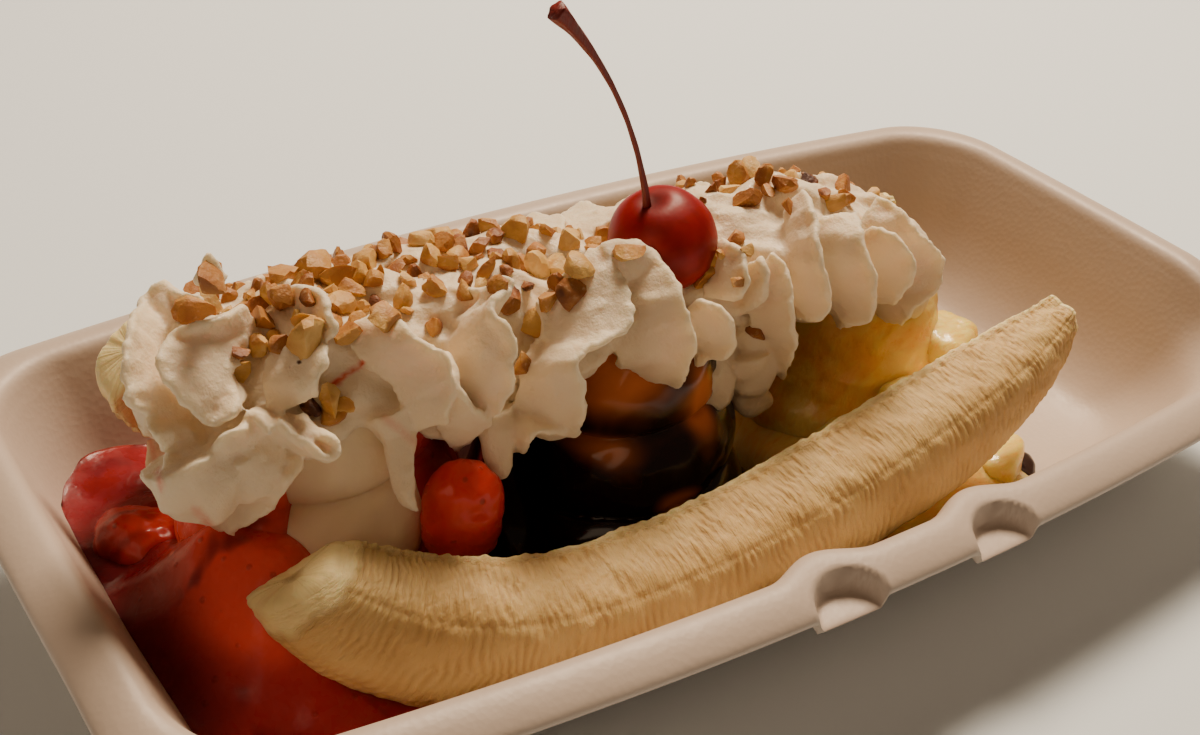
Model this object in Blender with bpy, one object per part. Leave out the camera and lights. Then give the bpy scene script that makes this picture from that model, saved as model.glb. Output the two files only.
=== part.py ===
"""Banana split in a foam tray: two banana halves, three soft-serve mounds, sauces, fruit, cream, nuts and a cherry.

Lengths are in millimetres up to the mesh, which is made in metres. +Z is up, +X runs along the tray and -Y is the
side with the two latch recesses. z = 0 is the underside of the tray.
"""

import math
import random

import bpy
import numpy as np
from mathutils import Vector
from mathutils.bvhtree import BVHTree

MM = 0.001
GAP = 0.3

TRAY_HALF_LENGTH = 120.0
TRAY_HALF_WIDTH = 54.95
TRAY_SIDE_BOW = 8.7
TRAY_END_BOW = 1.0
TRAY_CORNER = 17.4
TRAY_HEIGHT = 36.0
NEAR_DROP, NEAR_TILT = 4.8, 0.015
FLOOR_Z = 3.0
LATCH_X = (-12.0, 22.5)
LATCH_RADIUS = 6.6
LATCH_BULGE = 3.2
LATCH_FLOOR_Z = 24.8

# inset from the lip's outer edge and height, up the outside, over the lip and down the inside
TRAY_OUTSIDE = ((32.0, 0.0), (27.0, 1.0), (22.5, 4.5), (17.8, 10.0), (14.2, 16.5), (10.8, 25.0), (8.3, 31.2))
TRAY_LIP = ((0.7, 31.7), (0.0, 32.8), (0.9, 34.0), (3.6, 35.4), (6.3, TRAY_HEIGHT), (8.3, 35.2))
TRAY_INSIDE = ((10.0, 32.0), (12.9, 25.0), (16.3, 16.5), (20.0, 10.0), (25.0, 5.0), (30.5, FLOOR_Z))

BANANA_RADIUS = 12.5
BANANA_LENGTH = 172.9
BANANA_MIDDLE = (-10.2, -33.6, 19.2)
BANANA_TURN = (0.108, 0.248, -0.486, 0.524)
BANANA_BEND_PLANE = math.radians(52)
BANANA_FACE_TURN = math.radians(25)
BANANA_LEFT_TAPER = 0.274
BANANA_RIGHT_TAPER = 0.543
FAR_BANANA_RISE = 9.0

# centre x, centre y, base radius, top radius, top height, tiers, phase of the swirl
MOUNDS = {
    "ice_cream_left": (-70.0, 0.0, 25.0, 12.0, 60.0, 3.6, 0.4),
    "ice_cream_middle": (-13.0, -3.0, 23.0, 11.0, 52.5, 3.3, 0.65),
    "ice_cream_right": (42.0, 1.0, 22.0, 10.0, 49.0, 3.0, 0.1),
}

# x from, x to, level at the left, level at the right
POOLS = {
    "strawberry_sauce": (-108.0, -43.0, 18.5, 13.0),
    "chocolate_sauce": (-42.7, 17.0, 12.5, 10.0),
    "pineapple_sauce": (17.3, 64.0, 9.5, 6.5),
}

# centre, half lengths, turn about z in degrees
STRAWBERRIES = (
    ((-96.0, 15.0, 21.5), (6.5, 8.0, 4.5), 20),
    ((-94.0, -5.0, 25.0), (7.5, 9.0, 7.0), -30),
    ((-88.0, -24.0, 17.0), (8.0, 6.5, 5.0), 15),
    ((-52.0, -21.0, 29.0), (5.5, 5.0, 8.0), 0),
)
PINEAPPLES = (
    ((55.0, -14.0, 25.5), (7.5, 5.5, 7.0), 25),
    ((41.0, -23.0, 22.0), (8.5, 4.5, 6.5), -10),
    ((24.0, -20.5, 17.0), (6.0, 4.5, 5.0), 15),
    ((59.0, -30.0, 8.0), (7.0, 5.0, 3.8), 35),
    ((64.0, 4.0, 14.0), (5.5, 7.0, 7.0), -15),
    ((52.0, 26.0, 12.0), (7.5, 5.5, 6.0), 10),
)

CHERRY_CENTRE = (-10.5, -5.0, 63.5)
CHERRY_RADIUS = 9.3
STEM_START, STEM_BEND, STEM_END = (-13.8, -5.0, 68.5), (-18.5, -5.0, 92.0), (-34.2, -5.0, 107.2)
STEM_RADII = (0.9, 0.6, 0.5, 0.5, 0.6, 1.0, 1.5)

# station x, top, hem and half width of the whipped cream
CREAM_STATIONS = (-99.0, -91.0, -78.0, -60.0, -40.0, -20.0, 0.0, 20.0, 36.0, 50.0, 60.0)
CREAM_TOP = (58.0, 65.0, 68.0, 67.0, 65.0, 62.0, 60.5, 60.0, 56.0, 47.0, 38.0)
CREAM_HEM = (50.0, 42.0, 37.0, 36.0, 36.0, 38.0, 36.0, 34.0, 33.0, 32.0, 33.0)
CREAM_HALF = (3.0, 12.0, 16.0, 17.0, 17.0, 16.5, 16.0, 16.0, 14.0, 10.0, 3.0)
CREAM_Y = 1.0

# x of the free edge at its top, middle and bottom, start and end angle from the top, shift from root to edge, reach
FRONT_BLADES = (
    (-93.0, -102.0, -104.0, -35, 56, -9.0, 7.5),
    (-91.0, -97.0, -93.0, -5, 80, -10.0, 8.5),
    (-99.0, -99.0, -90.0, 62, 142, -8.0, 8.5),
    (-87.0, -83.0, -83.0, 66, 128, 9.0, 7.0),
    (-87.0, -80.0, -77.0, 35, 100, 8.0, 7.0),
    (-77.0, -74.0, -73.0, -20, 50, 9.0, 7.0),
    (-67.0, -59.0, -61.0, 20, 90, 12.0, 7.0),
    (-62.0, -57.0, -51.0, 45, 96, 9.0, 6.0),
    (-45.0, -48.0, -52.0, 15, 96, 13.0, 8.0),
    (-22.0, -26.0, -37.0, 0, 116, 14.0, 8.5),
    (-19.0, -14.5, -16.0, 20, 112, 12.0, 9.0),
    (-2.0, -1.0, -3.0, 36, 74, 8.0, 7.0),
    (2.0, 7.0, 8.0, 56, 134, 12.0, 7.5),
    (21.0, 15.0, 12.0, -5, 90, 12.0, 8.0),
    (30.0, 26.0, 25.0, 5, 106, 12.0, 8.0),
    (43.0, 53.0, 39.0, -5, 108, 12.0, 8.0),
)
BACK_BLADES = 7
BLADE_RINGS = 7
BLADE_PROFILE = ((-0.25, 2.4), (0.3, 1.9), (0.7, 1.2), (1.0, 0.6))
NUTS = 28
NUT_SIZE = (1.7, 2.6)

# top, bottom and radius of the cream that hangs down
DRIPS = (
    ((-57.0, -14.0, 44.0), (-56.5, -20.5, 30.0), 2.6),
    ((-38.5, -15.0, 42.0), (-38.0, -20.0, 31.0), 4.0),
    ((-25.0, -16.0, 45.0), (-24.0, -18.5, 37.0), 4.5),
    ((6.0, -15.0, 40.0), (7.0, -19.5, 31.0), 5.5),
    ((-88.0, -12.0, 48.0), (-91.0, -17.0, 38.0), 6.0),
)


def material(name, colour, roughness):
    made = bpy.data.materials.new(name)
    made.use_nodes = True
    shader = made.node_tree.nodes["Principled BSDF"]
    shader.inputs["Base Color"].default_value = (*colour, 1.0)
    shader.inputs["Roughness"].default_value = roughness
    shader.inputs["Metallic"].default_value = 0.0
    made.diffuse_color = (*colour, 1.0)
    return made


def facing_out(points, faces):
    """Turn the faces round where the mesh holds a negative volume."""
    total = 0.0
    for face in faces:
        a = points[face[0]]
        for b, c in zip(face[1:-1], face[2:]):
            total += float(np.dot(a, np.cross(points[b], points[c])))
    return [face[::-1] for face in faces] if total < 0 else faces


def build(name, points, faces, surface=None, origin=(0.0, 0.0, 0.0), parent=None, smooth=True):
    """One object from points in millimetres, with its origin at the given place."""
    points = np.asarray(points, float)
    origin = np.asarray(origin, float)
    faces = facing_out(points, faces)
    mesh = bpy.data.meshes.new(name)
    mesh.from_pydata(((points - origin) * MM).tolist(), [], faces)
    mesh.polygons.foreach_set("use_smooth", [smooth] * len(mesh.polygons))
    mesh.update()
    obj = bpy.data.objects.new(name, mesh)
    bpy.context.scene.collection.objects.link(obj)
    obj.location = tuple(origin * MM)
    obj.parent = parent
    if surface:
        mesh.materials.append(surface)
    return obj


def skin(rings):
    """Points and faces of closed rings joined in a row, with a fan on each end, always split the same way."""
    rings = np.asarray(rings, float)
    count, around, _ = rings.shape
    points = np.vstack([rings.reshape(-1, 3), rings[0].mean(axis=0), rings[-1].mean(axis=0)])
    faces = []
    for i in range(count - 1):
        for j in range(around):
            k = (j + 1) % around
            a, b, c, d = i * around + j, i * around + k, (i + 1) * around + k, (i + 1) * around + j
            faces += [(a, b, c), (a, c, d)]
    last = (count - 1) * around
    for j in range(around):
        k = (j + 1) % around
        faces.append((count * around, k, j))
        faces.append((count * around + 1, last + j, last + k))
    return points, faces


def combine(target, operation, tools, solver="MANIFOLD"):
    """Apply a Boolean with every tool at once, then remove the tools."""
    group = bpy.data.collections.new("tools")
    bpy.context.scene.collection.children.link(group)
    for tool in tools:
        bpy.context.scene.collection.objects.unlink(tool)
        group.objects.link(tool)
    modifier = target.modifiers.new(operation.lower(), "BOOLEAN")
    modifier.operation = operation
    modifier.operand_type = "COLLECTION"
    modifier.collection = group
    modifier.solver = solver
    bpy.context.view_layer.update()
    graph = bpy.context.evaluated_depsgraph_get()
    result = bpy.data.meshes.new_from_object(target.evaluated_get(graph))
    target.modifiers.clear()
    target.data = result
    for tool in tools:
        bpy.data.objects.remove(tool)
    bpy.data.collections.remove(group)


def keep_largest(obj):
    """Keep the largest body: cuts leave scraps, and unions leave bubbles that touch at a corner."""
    mesh = obj.data
    parent = list(range(len(mesh.polygons)))

    def root(i):
        while parent[i] != i:
            parent[i] = parent[parent[i]]
            i = parent[i]
        return i

    beside = {}
    for poly in mesh.polygons:
        for edge in poly.edge_keys:
            beside.setdefault(edge, []).append(poly.index)
    for found in beside.values():
        for other in found[1:]:
            parent[root(found[0])] = root(other)
    places = np.array([v.co for v in mesh.vertices])
    volumes = {}
    for poly in mesh.polygons:
        corners = [places[v] for v in poly.vertices]
        part = sum(float(np.dot(corners[0], np.cross(p, q))) for p, q in zip(corners[1:-1], corners[2:]))
        volumes[root(poly.index)] = volumes.get(root(poly.index), 0.0) + part
    if len(volumes) == 1:
        return
    best = max(volumes, key=volumes.get)
    kept = [poly for poly in mesh.polygons if root(poly.index) == best]
    used = sorted({v for poly in kept for v in poly.vertices})
    order = {old: new for new, old in enumerate(used)}
    clean = bpy.data.meshes.new(mesh.name)
    clean.from_pydata(places[used].tolist(), [], [tuple(order[v] for v in poly.vertices) for poly in kept])
    clean.polygons.foreach_set("use_smooth", [poly.use_smooth for poly in kept])
    for surface in mesh.materials:
        clean.materials.append(surface)
    clean.update()
    obj.data = clean


# tray


def outline_steps():
    """Places round the rim as (side, share): straight sides are split where the latch recesses need it."""
    near = [-1.0, -0.55]
    for centre in LATCH_X:
        for step in (-1.65, -1.05, -0.4, 0.4, 1.05, 1.65):
            near.append((centre + step * LATCH_RADIUS) / (TRAY_HALF_LENGTH - TRAY_CORNER))
    near += [0.5, 0.75]
    far = [1.0 - i / 2.5 for i in range(5)]
    return near, far


def bowed(x, y, inset=0.0):
    """The plan with its sides bowed outwards by the same amount at every inset."""
    side = 1.0 + TRAY_SIDE_BOW / (TRAY_HALF_WIDTH - inset) * (1.0 - (x / TRAY_HALF_LENGTH) ** 2)
    end = 1.0 + TRAY_END_BOW / (TRAY_HALF_LENGTH - inset) * (1.0 - (y / TRAY_HALF_WIDTH) ** 2)
    return x * end, y * side


def near_drop(x, y, z):
    """How far the rim and upper wall of the near side lie below the rest of the tray: more towards +X."""
    if z > TRAY_HEIGHT:
        return 0.0
    across = min(max((-20.0 - y) / 30.0, 0.0), 1.0)
    up = min(max((z - 18.0) / 14.0, 0.0), 1.0)
    return (NEAR_DROP + NEAR_TILT * x) * across**2 * (3.0 - 2.0 * across) * up**2 * (3.0 - 2.0 * up)


def outline(inset, z):
    """One closed ring of the tray at this inset; the lip swells inwards round each latch recess."""
    hx, hy = TRAY_HALF_LENGTH - inset, TRAY_HALF_WIDTH - inset
    corner = max(TRAY_CORNER - 0.3 * inset, 8.0)
    full, run = TRAY_HALF_LENGTH - TRAY_CORNER, hx - corner
    near, far = outline_steps()
    ring = []

    def along(share):
        x = share * full
        over = max(0.0, abs(x) - 60.0) / (full - 60.0)
        return math.copysign(abs(x) - over * (full - run), x)

    def turn(cx, cy, start):
        for i in range(5):
            a = math.radians(start + 90.0 * i / 5)
            ring.append((cx + corner * math.cos(a), cy + corner * math.sin(a)))

    for share in near:
        ring.append((along(share), -hy))
    turn(hx - corner, -(hy - corner), -90)
    for i in range(3):
        ring.append((hx, -(hy - corner) + 2 * (hy - corner) * i / 3))
    turn(hx - corner, hy - corner, 0)
    for share in far:
        ring.append((along(share), hy))
    turn(-(hx - corner), hy - corner, 90)
    for i in range(3):
        ring.append((-hx, (hy - corner) - 2 * (hy - corner) * i / 3))
    turn(-(hx - corner), -(hy - corner), 180)

    depth = LATCH_BULGE * float(np.interp(inset, (0.9, 3.6, 6.3, 9.5, 13.0, 18.0), (0.0, 0.8, 1.0, 1.0, 0.6, 0.0)))
    out = []
    for x, y in ring:
        bx, by = bowed(x, y, inset)
        if y < 0 and abs(abs(y) - hy) < 0.01:
            for centre in LATCH_X:
                t = abs(bx - centre) / (LATCH_RADIUS * 1.65)
                if t < 1.0:
                    by += depth * (0.5 + 0.5 * math.cos(math.pi * t))
        out.append((bx, by, z - near_drop(bx, by, z)))
    return out


def closed_by_discs(rings):
    """Rings joined in a row and closed by one flat face at each end."""
    count, around = len(rings), len(rings[0])
    points = [p for ring in rings for p in ring]
    faces = [tuple(range(around))[::-1], tuple((count - 1) * around + j for j in range(around))]
    for i in range(count - 1):
        for j in range(around):
            k = (j + 1) % around
            faces.append((i * around + j, i * around + k, (i + 1) * around + k, (i + 1) * around + j))
    return points, faces


def latch_disc(name, centre, radius, low, high, out):
    """A half disc that stands on the lip's outer edge and reaches inwards by its radius."""
    edge = bowed(centre, -TRAY_HALF_WIDTH)[1]
    plan = [(centre + radius * math.cos(a), edge + 0.6 + (radius - 1.2) * math.sin(a))
            for a in np.linspace(0.0, math.pi, 9)]
    plan += [(centre - radius, edge - out), (centre + radius, edge - out)]
    return build(name, *closed_by_discs([[(x, y, z) for x, y in plan] for z in (low, high)]), smooth=False)


def tray(surface, parent):
    rings = [outline(inset, z) for inset, z in TRAY_OUTSIDE + TRAY_LIP + TRAY_INSIDE]
    made = build("tray", *closed_by_discs(rings), surface, parent=parent)
    cups = [latch_disc("cup", x, LATCH_RADIUS + 1.8, LATCH_FLOOR_Z - 1.8, LATCH_FLOOR_Z + 3.6, -0.3) for x in LATCH_X]
    combine(made, "UNION", cups)
    combine(made, "DIFFERENCE", [latch_disc("dip", x, LATCH_RADIUS, LATCH_FLOOR_Z, 40.0, 4.0) for x in LATCH_X])
    keep_largest(made)
    return made


def wall_inset(z):
    """Inset of the inner wall at this height."""
    inside = sorted((height, inset) for inset, height in TRAY_INSIDE)
    return np.interp(z, [p[0] for p in inside], [p[1] for p in inside])


def cavity(name, grow, height=0.0):
    """The space inside the tray, kept off its wall by the gap, and carried on up to a height if one is given."""
    rings = [outline(inset + grow * 1.2, z + grow) for inset, z in TRAY_INSIDE[::-1]]
    if height:
        rings.append(outline(TRAY_INSIDE[0][0], height))
    return build(name, *closed_by_discs(rings), smooth=False)


# bananas


def banana_rings(side, grow=0.0, count=17, around=10):
    """Half a banana split lengthwise: a bent centreline and a half pentagon with rounded corners.

    The far half's left end lies higher, on the sauce and the fruit.
    """
    a0, a1, a2, a3 = BANANA_TURN
    s = np.linspace(-1.0, 1.0, count)
    fine = np.linspace(-1.0, 1.0, 401)
    turn = a0 + a1 * fine + a2 * fine**2 + a3 * fine**3
    step = BANANA_LENGTH / 400
    run = np.concatenate([[0.0], np.cumsum(np.cos(turn[:-1]) * step)])
    rise = np.concatenate([[0.0], np.cumsum(np.sin(turn[:-1]) * step)])
    run = np.interp(s, fine, run - run[200])
    rise = np.interp(s, fine, rise - rise[200])
    turn = np.interp(s, fine, turn)
    lift = np.array([0.0, math.cos(BANANA_BEND_PLANE), math.sin(BANANA_BEND_PLANE)])
    inward = np.array([0.0, math.sin(BANANA_BEND_PLANE), -math.cos(BANANA_BEND_PLANE)])
    centre = np.outer(run, [1, 0, 0]) + np.outer(rise, lift) + np.array(BANANA_MIDDLE)
    across = np.outer(-np.sin(turn), [1, 0, 0]) + np.outer(np.cos(turn), lift)
    c, n = math.cos(BANANA_FACE_TURN), math.sin(BANANA_FACE_TURN)
    face = inward * c + across * n
    across = across * c - inward * n
    along = np.cross(across, face)
    left = 1.0 - BANANA_LEFT_TAPER * np.clip((-s - 0.55) / 0.45, 0, 1) ** 2
    right = 1.0 - BANANA_RIGHT_TAPER * np.clip((s - 0.45) / 0.55, 0, 1) ** 2
    radius = BANANA_RADIUS * left * right + grow
    angle = np.linspace(0.0, math.pi, around)
    corner = 1.0 + 0.035 * np.cos(5.0 * (angle - math.radians(62)))
    reach = radius[:, None] * corner[None, :]
    rings = (
        centre[:, None]
        + (reach * np.cos(angle))[..., None] * across[:, None]
        - (1.02 * reach * np.sin(angle))[..., None] * face[:, None]
        + grow * face[:, None]
    )
    rings[0] -= along[0] * grow
    rings[-1] += along[-1] * grow
    limit = TRAY_HALF_WIDTH + TRAY_SIDE_BOW * (1.0 - (rings[..., 0] / TRAY_HALF_LENGTH) ** 2)
    limit = limit - wall_inset(np.maximum(rings[..., 2], FLOOR_Z)) - 2 * GAP + grow
    inside = rings[..., 2] < TRAY_HEIGHT
    rings[..., 1] = np.where(inside, np.maximum(rings[..., 1], -limit), rings[..., 1])
    rings[..., 2] = np.maximum(rings[..., 2], FLOOR_Z + 2 * GAP - grow)
    if side > 0:
        rings[..., 1] *= -1.0
        rings[..., 2] += FAR_BANANA_RISE * (np.clip(-s - 0.3, 0.0, 0.7) / 0.7)[:, None] ** 1.5
    return rings


# soft-serve


def mound_rings(spec, grow=0.0, rows=14, around=16):
    """A spiral of soft tiers: the radius follows a rounded step that climbs once per turn."""
    cx, cy, base, top, height, tiers, phase = spec
    low = FLOOR_Z + GAP
    rings = []
    for i in range(rows):
        share = i / (rows - 1)
        taper = base + (top - base) * share**1.5
        if share > 0.86:
            taper *= math.sqrt(max(0.02, 1.0 - ((share - 0.86) / 0.14) ** 2 * 0.97))
        ring = []
        for j in range(around):
            a = 2 * math.pi * j / around
            climb = share * tiers - a / (2 * math.pi) + phase
            radius = taper * (0.81 + 0.19 * abs(math.sin(math.pi * climb)) ** 0.6) + 1.7 * grow
            z = low + (height - low) * share + (grow if i == rows - 1 else -grow if i == 0 else 0.0)
            ring.append((cx + radius * math.cos(a), cy + radius * math.sin(a), z))
        rings.append(ring)
    return rings


# sauces


def pool_surface(x, y, spec):
    """Level of a sauce: it falls from left to right with slow waves."""
    x0, x1, z0, z1 = spec
    t = np.clip((x - x0) / (x1 - x0), 0, 1)
    return z0 + (z1 - z0) * t + 0.5 * np.sin(x * 0.23 + y * 0.11) + 0.4 * np.sin(y * 0.27 - x * 0.09)


def pool(name, spec, parent, surface, cutters):
    x0, x1, _, _ = spec
    xs, ys = np.linspace(0, 1, 6), np.linspace(-58, 58, 9)
    points, faces = [], []
    edge = 2.2 * np.sin(ys / 7.0)
    for level in (0, 1):
        for t in xs:
            for y, wave in zip(ys, edge):
                x = x0 + (x1 - x0) * t + wave * (1 if x0 > -100 or t > 0.5 else 0)
                points.append((x, y, float(pool_surface(x, y, spec)) if level else 1.0))
    rows, cols = len(xs), len(ys)
    for i in range(rows - 1):
        for j in range(cols - 1):
            a, b = i * cols + j, (i + 1) * cols + j
            faces.append((a, a + 1, b + 1, b))
            up = rows * cols
            faces.append((up + a, up + b, up + b + 1, up + a + 1))
    rim = [j for j in range(cols)] + [i * cols + cols - 1 for i in range(1, rows)]
    rim += [(rows - 1) * cols + j for j in range(cols - 2, -1, -1)] + [i * cols for i in range(rows - 2, 0, -1)]
    for a, b in zip(rim, rim[1:] + rim[:1]):
        faces.append((a, rows * cols + a, rows * cols + b, b))
    made = build(name, points, faces, surface, parent=parent)
    combine(made, "INTERSECT", [cavity("keep_in", GAP)])
    combine(made, "DIFFERENCE", cutters())
    keep_largest(made)
    return made


# fruit and cream


def lump_rings(spec, seed, square, grow=0.0, rows=6, around=8):
    """A rounded piece of fruit; square pushes it towards a box with soft edges."""
    centre, half, degrees = spec
    draw = random.Random(seed)
    shift = [draw.uniform(0, 6.3) for _ in range(4)]
    c, s = math.cos(math.radians(degrees)), math.sin(math.radians(degrees))
    rings = []
    for i in range(rows):
        v = math.pi * (i + 0.5) / rows - math.pi / 2
        ring = []
        for j in range(around):
            u = 2 * math.pi * j / around
            d = [math.cos(v) * math.cos(u), math.cos(v) * math.sin(u), math.sin(v)]
            d = [math.copysign(abs(k) ** square, k) for k in d]
            size = 1 + 0.06 * math.sin(3 * u + shift[0]) + 0.05 * math.sin(2 * u + 3 * v + shift[1])
            x, y, z = (k * (h * size + grow) for k, h in zip(d, half))
            ring.append((centre[0] + c * x - s * y, centre[1] + s * x + c * y, centre[2] + z))
        rings.append(ring)
    return rings


def cream_at(x):
    """Centre height, height radius and width radius of the cream's core at x."""
    top = np.interp(x, CREAM_STATIONS, CREAM_TOP)
    hem = np.interp(x, CREAM_STATIONS, CREAM_HEM)
    return (top + hem) / 2, (top - hem) / 2, np.interp(x, CREAM_STATIONS, CREAM_HALF)


def core_rings(count=12, around=10):
    rings = []
    for x in np.linspace(CREAM_STATIONS[0], CREAM_STATIONS[-1], count):
        middle, tall, wide = cream_at(x)
        ring = []
        for j in range(around):
            a = 2 * math.pi * j / around
            ring.append((x, CREAM_Y - wide * math.sin(a), middle + tall * math.cos(a)))
        rings.append(ring)
    return rings


def core_point(x, angle, side, lift):
    """A place over the core at x and an angle from the top, raised by lift, and the way out there."""
    middle, tall, wide = (float(v) for v in cream_at(min(max(x, -95.0), 57.0)))
    tall, wide = max(tall, 6.0), max(wide, 6.0)
    out = np.array([0.0, -side * math.sin(angle), math.cos(angle)])
    place = np.array([x, CREAM_Y - side * wide * math.sin(angle), middle + tall * math.cos(angle)])
    return place + out * lift, out


def blade_rings(side, spec, seed):
    """A piped petal: it leaves the core at its root, leans along x like a shingle and thins to a wavy free edge."""
    top, mid, low, start, end, shift, reach = spec
    draw = random.Random(seed)
    phase, wave = draw.uniform(0, 6.3), draw.uniform(0.5, 1.1)
    rings = []
    for i in range(BLADE_RINGS):
        t = i / (BLADE_RINGS - 1)
        angle = math.radians(start + (end - start) * t)
        swell = math.sin(math.pi * (0.06 + 0.88 * t)) ** 0.5
        edge_x = float(np.interp(t, (0.0, 0.5, 1.0), (top, mid, low))) + wave * math.sin(9.0 * t + phase)
        lift = reach * (swell + 0.1 * math.sin(7.0 * t + phase))
        edge, out = core_point(edge_x, angle, side, lift)
        root, _ = core_point(edge_x - shift * swell, angle, side, -1.0)
        ax = np.array([1.0, 0.0, 0.0])
        run, rise = edge[0] - root[0], float(np.dot(edge - root, out))
        across = (ax * -rise + out * run) / math.hypot(run, rise)
        line = [(root + (edge - root) * share - across * (0.9 * math.sin(math.pi * max(share, 0.0))), half)
                for share, half in BLADE_PROFILE]
        rings.append([p - across * h for p, h in line] + [p + across * h for p, h in line[::-1]])
    return rings


def drip_rings(spec, rows=5, around=6):
    top, bottom, radius = (np.array(spec[0]), np.array(spec[1]), spec[2])
    rings = []
    for i in range(rows):
        t = i / (rows - 1)
        centre = top + (bottom - top) * t
        r = radius * math.sqrt(max(0.06, 1.0 - t**3))
        ring = []
        for j in range(around):
            a = 2 * math.pi * j / around
            ring.append(centre + r * np.array([math.cos(a), 0.8 * math.sin(a), 0.25 * math.sin(a)]))
        rings.append(ring)
    return rings


def nut_shape(centre, size, draw):
    """A chopped nut: an octahedron with its corners pulled about."""
    points, turn = [], [draw.uniform(0, 6.3) for _ in range(3)]
    for i in range(8):
        z = -0.6 if i < 4 else 0.6
        a = math.pi / 2 * (i % 4) + turn[0] + (0.5 if i > 3 else 0.0)
        r = size * draw.uniform(0.75, 1.15)
        points.append([r * math.cos(a), r * math.sin(a) * 0.8, size * z])
    points = np.array(points)
    c, s = math.cos(turn[1]), math.sin(turn[1])
    points = points @ np.array([[1, 0, 0], [0, c, -s], [0, s, c]])
    faces = [(0, 1, 2, 3), (4, 7, 6, 5)]
    for i in range(4):
        k = (i + 1) % 4
        faces += [(i, i + 4, k + 4), (i, k + 4, k)]
    return points + np.array(centre), faces


def nut_places(cream):
    """Nuts lie along the top and the upper front of the cream, thinner towards the right."""
    draw = random.Random(41)
    tree = BVHTree.FromObject(cream, bpy.context.evaluated_depsgraph_get())
    origin = np.array(cream.location)
    found = []
    for _ in range(3000):
        if len(found) == NUTS:
            break
        x, a = draw.uniform(-92.0, 44.0), math.radians(draw.gauss(14, 30))
        size = draw.uniform(*NUT_SIZE)
        if abs(x - CHERRY_CENTRE[0]) < CHERRY_RADIUS + 1.5 or (x > -20 and draw.random() < 0.4):
            continue
        middle = float(cream_at(x)[0])
        out = np.array([0.0, -math.sin(a), math.cos(a)])
        start = (np.array([x, CREAM_Y, middle]) + out * 60.0) * MM - origin
        hit = tree.ray_cast(Vector(start), Vector(-out))[0]
        if hit is None:
            continue
        centre = (np.array(hit) + origin) / MM + out * size * 0.15
        if all(math.dist(centre, other[0]) > size + other[1] + 0.9 for other in found):
            found.append((centre, size))
    return found


def stem_rings(grow=0.0, rows=10, around=6):
    """A thin stem on a quadratic curve, thickest at its tip."""
    t = np.linspace(0.0, 1.0, rows)
    p0, p1, p2 = (np.array(p) for p in (STEM_START, STEM_BEND, STEM_END))
    path = np.outer((1 - t) ** 2, p0) + np.outer(2 * t * (1 - t), p1) + np.outer(t**2, p2)
    radii = np.interp(t, np.linspace(0, 1, len(STEM_RADII)), STEM_RADII) + grow
    rings = []
    for i in range(rows):
        tangent = path[min(i + 1, rows - 1)] - path[max(i - 1, 0)]
        tangent /= np.linalg.norm(tangent)
        side = np.cross(tangent, [0.0, 1.0, 0.0])
        side /= np.linalg.norm(side)
        up = np.cross(side, tangent)
        ring = []
        for j in range(around):
            a = 2 * math.pi * j / around
            ring.append(path[i] + radii[i] * (math.cos(a) * side + math.sin(a) * up))
        rings.append(ring)
    return rings


def cherry_rings(grow=0.0, rows=10, around=14):
    """A ball with a shallow dimple at the top, where the stem goes in."""
    rings = []
    for i in range(rows):
        v = math.pi * (i + 0.5) / rows
        r = CHERRY_RADIUS + grow
        z = math.cos(v) * 0.95 - 0.16 * math.exp(-((v / 0.38) ** 2))
        flat = math.sin(v) * (1.0 - 0.04 * math.cos(v))
        ring = []
        for j in range(around):
            a = 2 * math.pi * j / around
            x, y = r * flat * math.cos(a), r * flat * math.sin(a)
            tilt = 0.35
            px, pz = x * math.cos(tilt) - r * z * math.sin(tilt), x * math.sin(tilt) + r * z * math.cos(tilt)
            ring.append((CHERRY_CENTRE[0] + px, CHERRY_CENTRE[1] + y, CHERRY_CENTRE[2] + pz))
        rings.append(ring)
    return rings


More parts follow.
